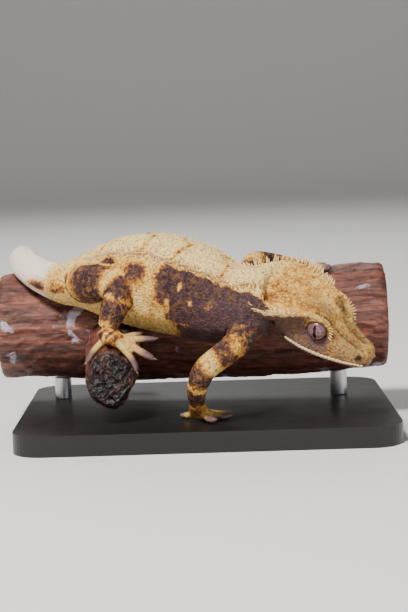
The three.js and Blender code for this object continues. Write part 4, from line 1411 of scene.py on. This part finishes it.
def wood_grain_group():
    """Long grain in weathered wood: its colour and height, and where pale flecks lie."""
    group, t, given, out = new_group(
        "weathered_grain",
        [("Vector", VECTOR), ("Stretch", VECTOR)],
        [("Color", COLOR), ("Height", FLOAT), ("Flecks", FLOAT)],
    )
    stretched = t.vector_math("MULTIPLY", {0: given["Vector"], 1: given["Stretch"]})
    lines = t.noise(stretched, 900.0, 6.0, 0.65, 0.6)
    wide = t.noise(stretched, 220.0, 4.0, 0.6, 0.8)
    both = t.plus(t.times(lines, 0.55), t.times(wide, 0.45))
    tone = t.ramp(both, [
        (0.34, color(0.018, 0.006, 0.005)),
        (0.46, color(0.080, 0.022, 0.014)),
        (0.55, color(0.19, 0.055, 0.034)),
        (0.68, color(0.36, 0.145, 0.10)),
    ])
    spots = t.noise(given["Vector"], 95.0, 5.0, 0.55, 0.4)
    t.links.new(tone, out["Color"])
    t.links.new(both, out["Height"])
    t.links.new(t.spread(spots, 0.63, 0.67), out["Flecks"])
    return group


def wood_material(name, grain, stretch, gloss, broken_end=False):
    """Weathered wood with its grain along one axis; a broken end is nearly black."""
    material, t, shader = new_material(name, Roughness=gloss)
    vector = object_vector(t)
    wood = t.group(grain, Vector=vector, Stretch=stretch)
    base = wood["Color"]
    if broken_end:
        # The broken face and the wood just behind it are painted nearly black, with a ragged edge
        depth = t.add("ShaderNodeSeparateXYZ", inputs={0: vector}).outputs[1]
        front = (STUB_FRONT + TO_ROW[1]) * MM
        end_black = t.spread(depth, front + END_BLACK_FADE, front + END_BLACK_FULL)
        ragged = t.vary(t.noise(vector, 300.0, 3.0), 1.2)
        end_black = t.math("ADD", end_black, ragged, clamp=True)
        base = t.mix(end_black, base, color(0.008, 0.004, 0.005))
    base = t.mix(t.times(wood["Flecks"], 0.8), base, color(0.50, 0.46, 0.58))
    t.links.new(base, shader["Base Color"])
    t.bump(shader, wood["Height"], 0.9, 0.0009)
    return material


def base_material():
    material, t, shader = new_material("base_board")
    vector = object_vector(t)
    base = t.mix(t.noise(vector, 60.0, 4.0), color(0.006, 0.006, 0.007), color(0.012, 0.011, 0.012))
    t.links.new(base, shader["Base Color"])
    gloss = t.add("ShaderNodeMapRange", inputs={0: t.noise(vector, 200.0, 3.0), 3: 0.30, 4: 0.42})
    t.links.new(gloss.outputs[0], shader["Roughness"])
    return material


def rod_material():
    material, t, shader = new_material("steel_rod", Metallic=1.0, Roughness=0.3)
    grain = t.noise(object_vector(t), 2500.0, 3.0)
    t.links.new(t.mix(grain, color(0.50, 0.50, 0.52), color(0.66, 0.66, 0.68)), shader["Base Color"])
    return material


def dress(obj, material, slot, *nodes):
    """Gives a piece its material, its body and the nodes it stands for; the slot is not used."""
    obj.data.materials.clear()
    obj.data.materials.append(material)
    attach(obj, "root")
    if nodes:
        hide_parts(*nodes)


FLESH = ["head", "neck", "torso", "tail_base", "tail_middle", "tail_tip"]
for limb_name in LIMBS:
    FLESH += ["leg_" + limb_name + "_upper", "leg_" + limb_name + "_lower", "foot_" + limb_name]

# The animal
mesh, coords, lofts, edges = make_skin()
paint = paint_fields(coords, lofts)
mesh.vertices.foreach_set("co", ((coords + TO_ROW) * MM).ravel())
mesh.update()
for field, amounts in paint.items():
    # The painted shade field stays sharp; the other fields are smoothed
    sharp = field == "dark"
    set_field(mesh, field, amounts if sharp else smoothed(amounts, edges, PAINT_ROUNDS))
mesh.polygons.foreach_set("use_smooth", [True] * len(mesh.polygons))
gecko = add_object("gecko_skin", mesh)
skin_look = skin_material(granular_scales_group(), skin_markings_group())
dress(gecko, skin_look, "skin", *FLESH)

pale_spine = spine_material(color(0.62, 0.36, 0.10), color(0.95, 0.80, 0.48), "pale_spines")
gold_spine = spine_material(color(0.72, 0.38, 0.08), color(0.95, 0.72, 0.30), "gold_spines")
dress(crest_spines(), pale_spine, "skin")
dress(lashes(), gold_spine, "skin")
dress(raised_scales(coords, vertex_normals(mesh), paint), skin_look, "skin")
dress(lip_scales(), lip_material(), "skin")
dress(claws(), claw_material(), "toe_skin")
eye_look = eye_material()
dress(eyeball(-1, "eyeball_right"), eye_look, "eye", "eye_right")
dress(eyeball(1, "eyeball_left"), eye_look, "eye", "eye_left")

# The driftwood and the stand
grain_group = wood_grain_group()
log_look = wood_material("driftwood", grain_group, (0.12, 1, 1), 0.55)
stub_look = wood_material("driftwood_end", grain_group, (1, 0.2, 1), 0.35, broken_end=True)
dress(perch_log(), log_look, "driftwood", "perch_log")
dress(perch_stub(), stub_look, "driftwood", "perch_stub")
stand_looks = {
    "stand_base": base_material(),
    "stand_rod_1": rod_material(),
    "stand_rod_2": rod_material(),
}
for node_name, look in stand_looks.items():
    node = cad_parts[node_name]
    node.data.materials.clear()
    node.data.materials.append(look)

# Camera: place in millimetres in the animal's frame, direction, roll, lens and film size in millimetres
CAMERA_PLACE = Vector((0.99, -442.12, 83.83))
CAMERA_FORWARD = Vector((0.0, 0.9936, -0.1132))
CAMERA_ROLL = math.radians(-1.7)
CAMERA_LENS = 92.9
CAMERA_FILM = 36.0
# Soft lamps in metres: place, aim, width, power, tint
LAMPS = {
    "key": ((-0.32, -0.62, 0.85), (0, 0, 0.03), 0.26, 21.0, (1.0, 0.96, 0.90)),
    "fill": ((0.75, -0.7, 0.30), (0, 0, 0.03), 0.6, 2.2, (0.95, 0.97, 1.0)),
    "back": ((-0.1, 0.8, 0.7), (0, 0, 0.04), 0.5, 3.5, (1.0, 1.0, 1.0)),
}
AROUND_TINT = (0.9, 0.92, 0.95, 1)
AROUND_STRENGTH = 0.14
# Backdrop in metres: a floor that curves up into a wall
FLOOR_HALF_WIDTH = 4
FLOOR_FRONT = -3
FLOOR_BACK = 1.6
WALL_CURVE = 0.6
WALL_TOP = 3.0


def backdrop():
    """The pale floor and wall."""
    material, _, _ = new_material("studio_sweep", Base_Color=color(0.80, 0.80, 0.79), Roughness=0.9)
    profile = [(FLOOR_FRONT, 0), (FLOOR_BACK, 0)]
    for a in np.linspace(0.15, math.pi / 2, 12):
        profile.append((FLOOR_BACK + WALL_CURVE * math.sin(a), WALL_CURVE - WALL_CURVE * math.cos(a)))
    profile.append((FLOOR_BACK + WALL_CURVE, WALL_TOP))
    points = [(x, y, z) for y, z in profile for x in (-FLOOR_HALF_WIDTH, FLOOR_HALF_WIDTH)]
    faces = [(2 * i, 2 * i + 1, 2 * i + 3, 2 * i + 2) for i in range(len(profile) - 1)]
    sweep = bpy.data.meshes.new("studio_sweep")
    sweep.from_pydata(points, [], faces)
    sweep.polygons.foreach_set("use_smooth", [True] * len(sweep.polygons))
    sweep.materials.append(material)
    add_object("studio_sweep", sweep)


def lamp(name, place, aim, size, power, tint):
    """A round soft lamp aimed at a point."""
    data = bpy.data.lights.new(name, "AREA")
    data.shape = "DISK"
    data.size = size
    data.energy = power
    data.color = tint
    obj = add_object(name, data)
    obj.location = place
    obj.rotation_euler = (Vector(aim) - Vector(place)).to_track_quat("-Z", "Y").to_euler()


def studio():
    """An even pale surround and the lamps."""
    world = bpy.data.worlds.new("studio")
    world.use_nodes = True
    surround = world.node_tree.nodes["Background"].inputs
    surround[0].default_value = AROUND_TINT
    surround[1].default_value = AROUND_STRENGTH
    bpy.context.scene.world = world
    for name, settings in LAMPS.items():
        lamp(name, *settings)


def camera():
    """The photo's point of view."""
    data = bpy.data.cameras.new("photo_view")
    data.sensor_width = CAMERA_FILM
    data.sensor_height = CAMERA_FILM
    data.sensor_fit = "AUTO"
    data.lens = CAMERA_LENS
    data.clip_start = 0.01
    data.clip_end = 20.0
    obj = add_object("photo_view", data)
    obj.location = (CAMERA_PLACE + Vector(TO_ROW)) * MM
    obj.rotation_mode = "QUATERNION"
    obj.rotation_quaternion = CAMERA_FORWARD.to_track_quat("-Z", "Y") @ Quaternion((0, 0, 1), CAMERA_ROLL)
    bpy.context.scene.camera = obj


backdrop()
studio()
camera()
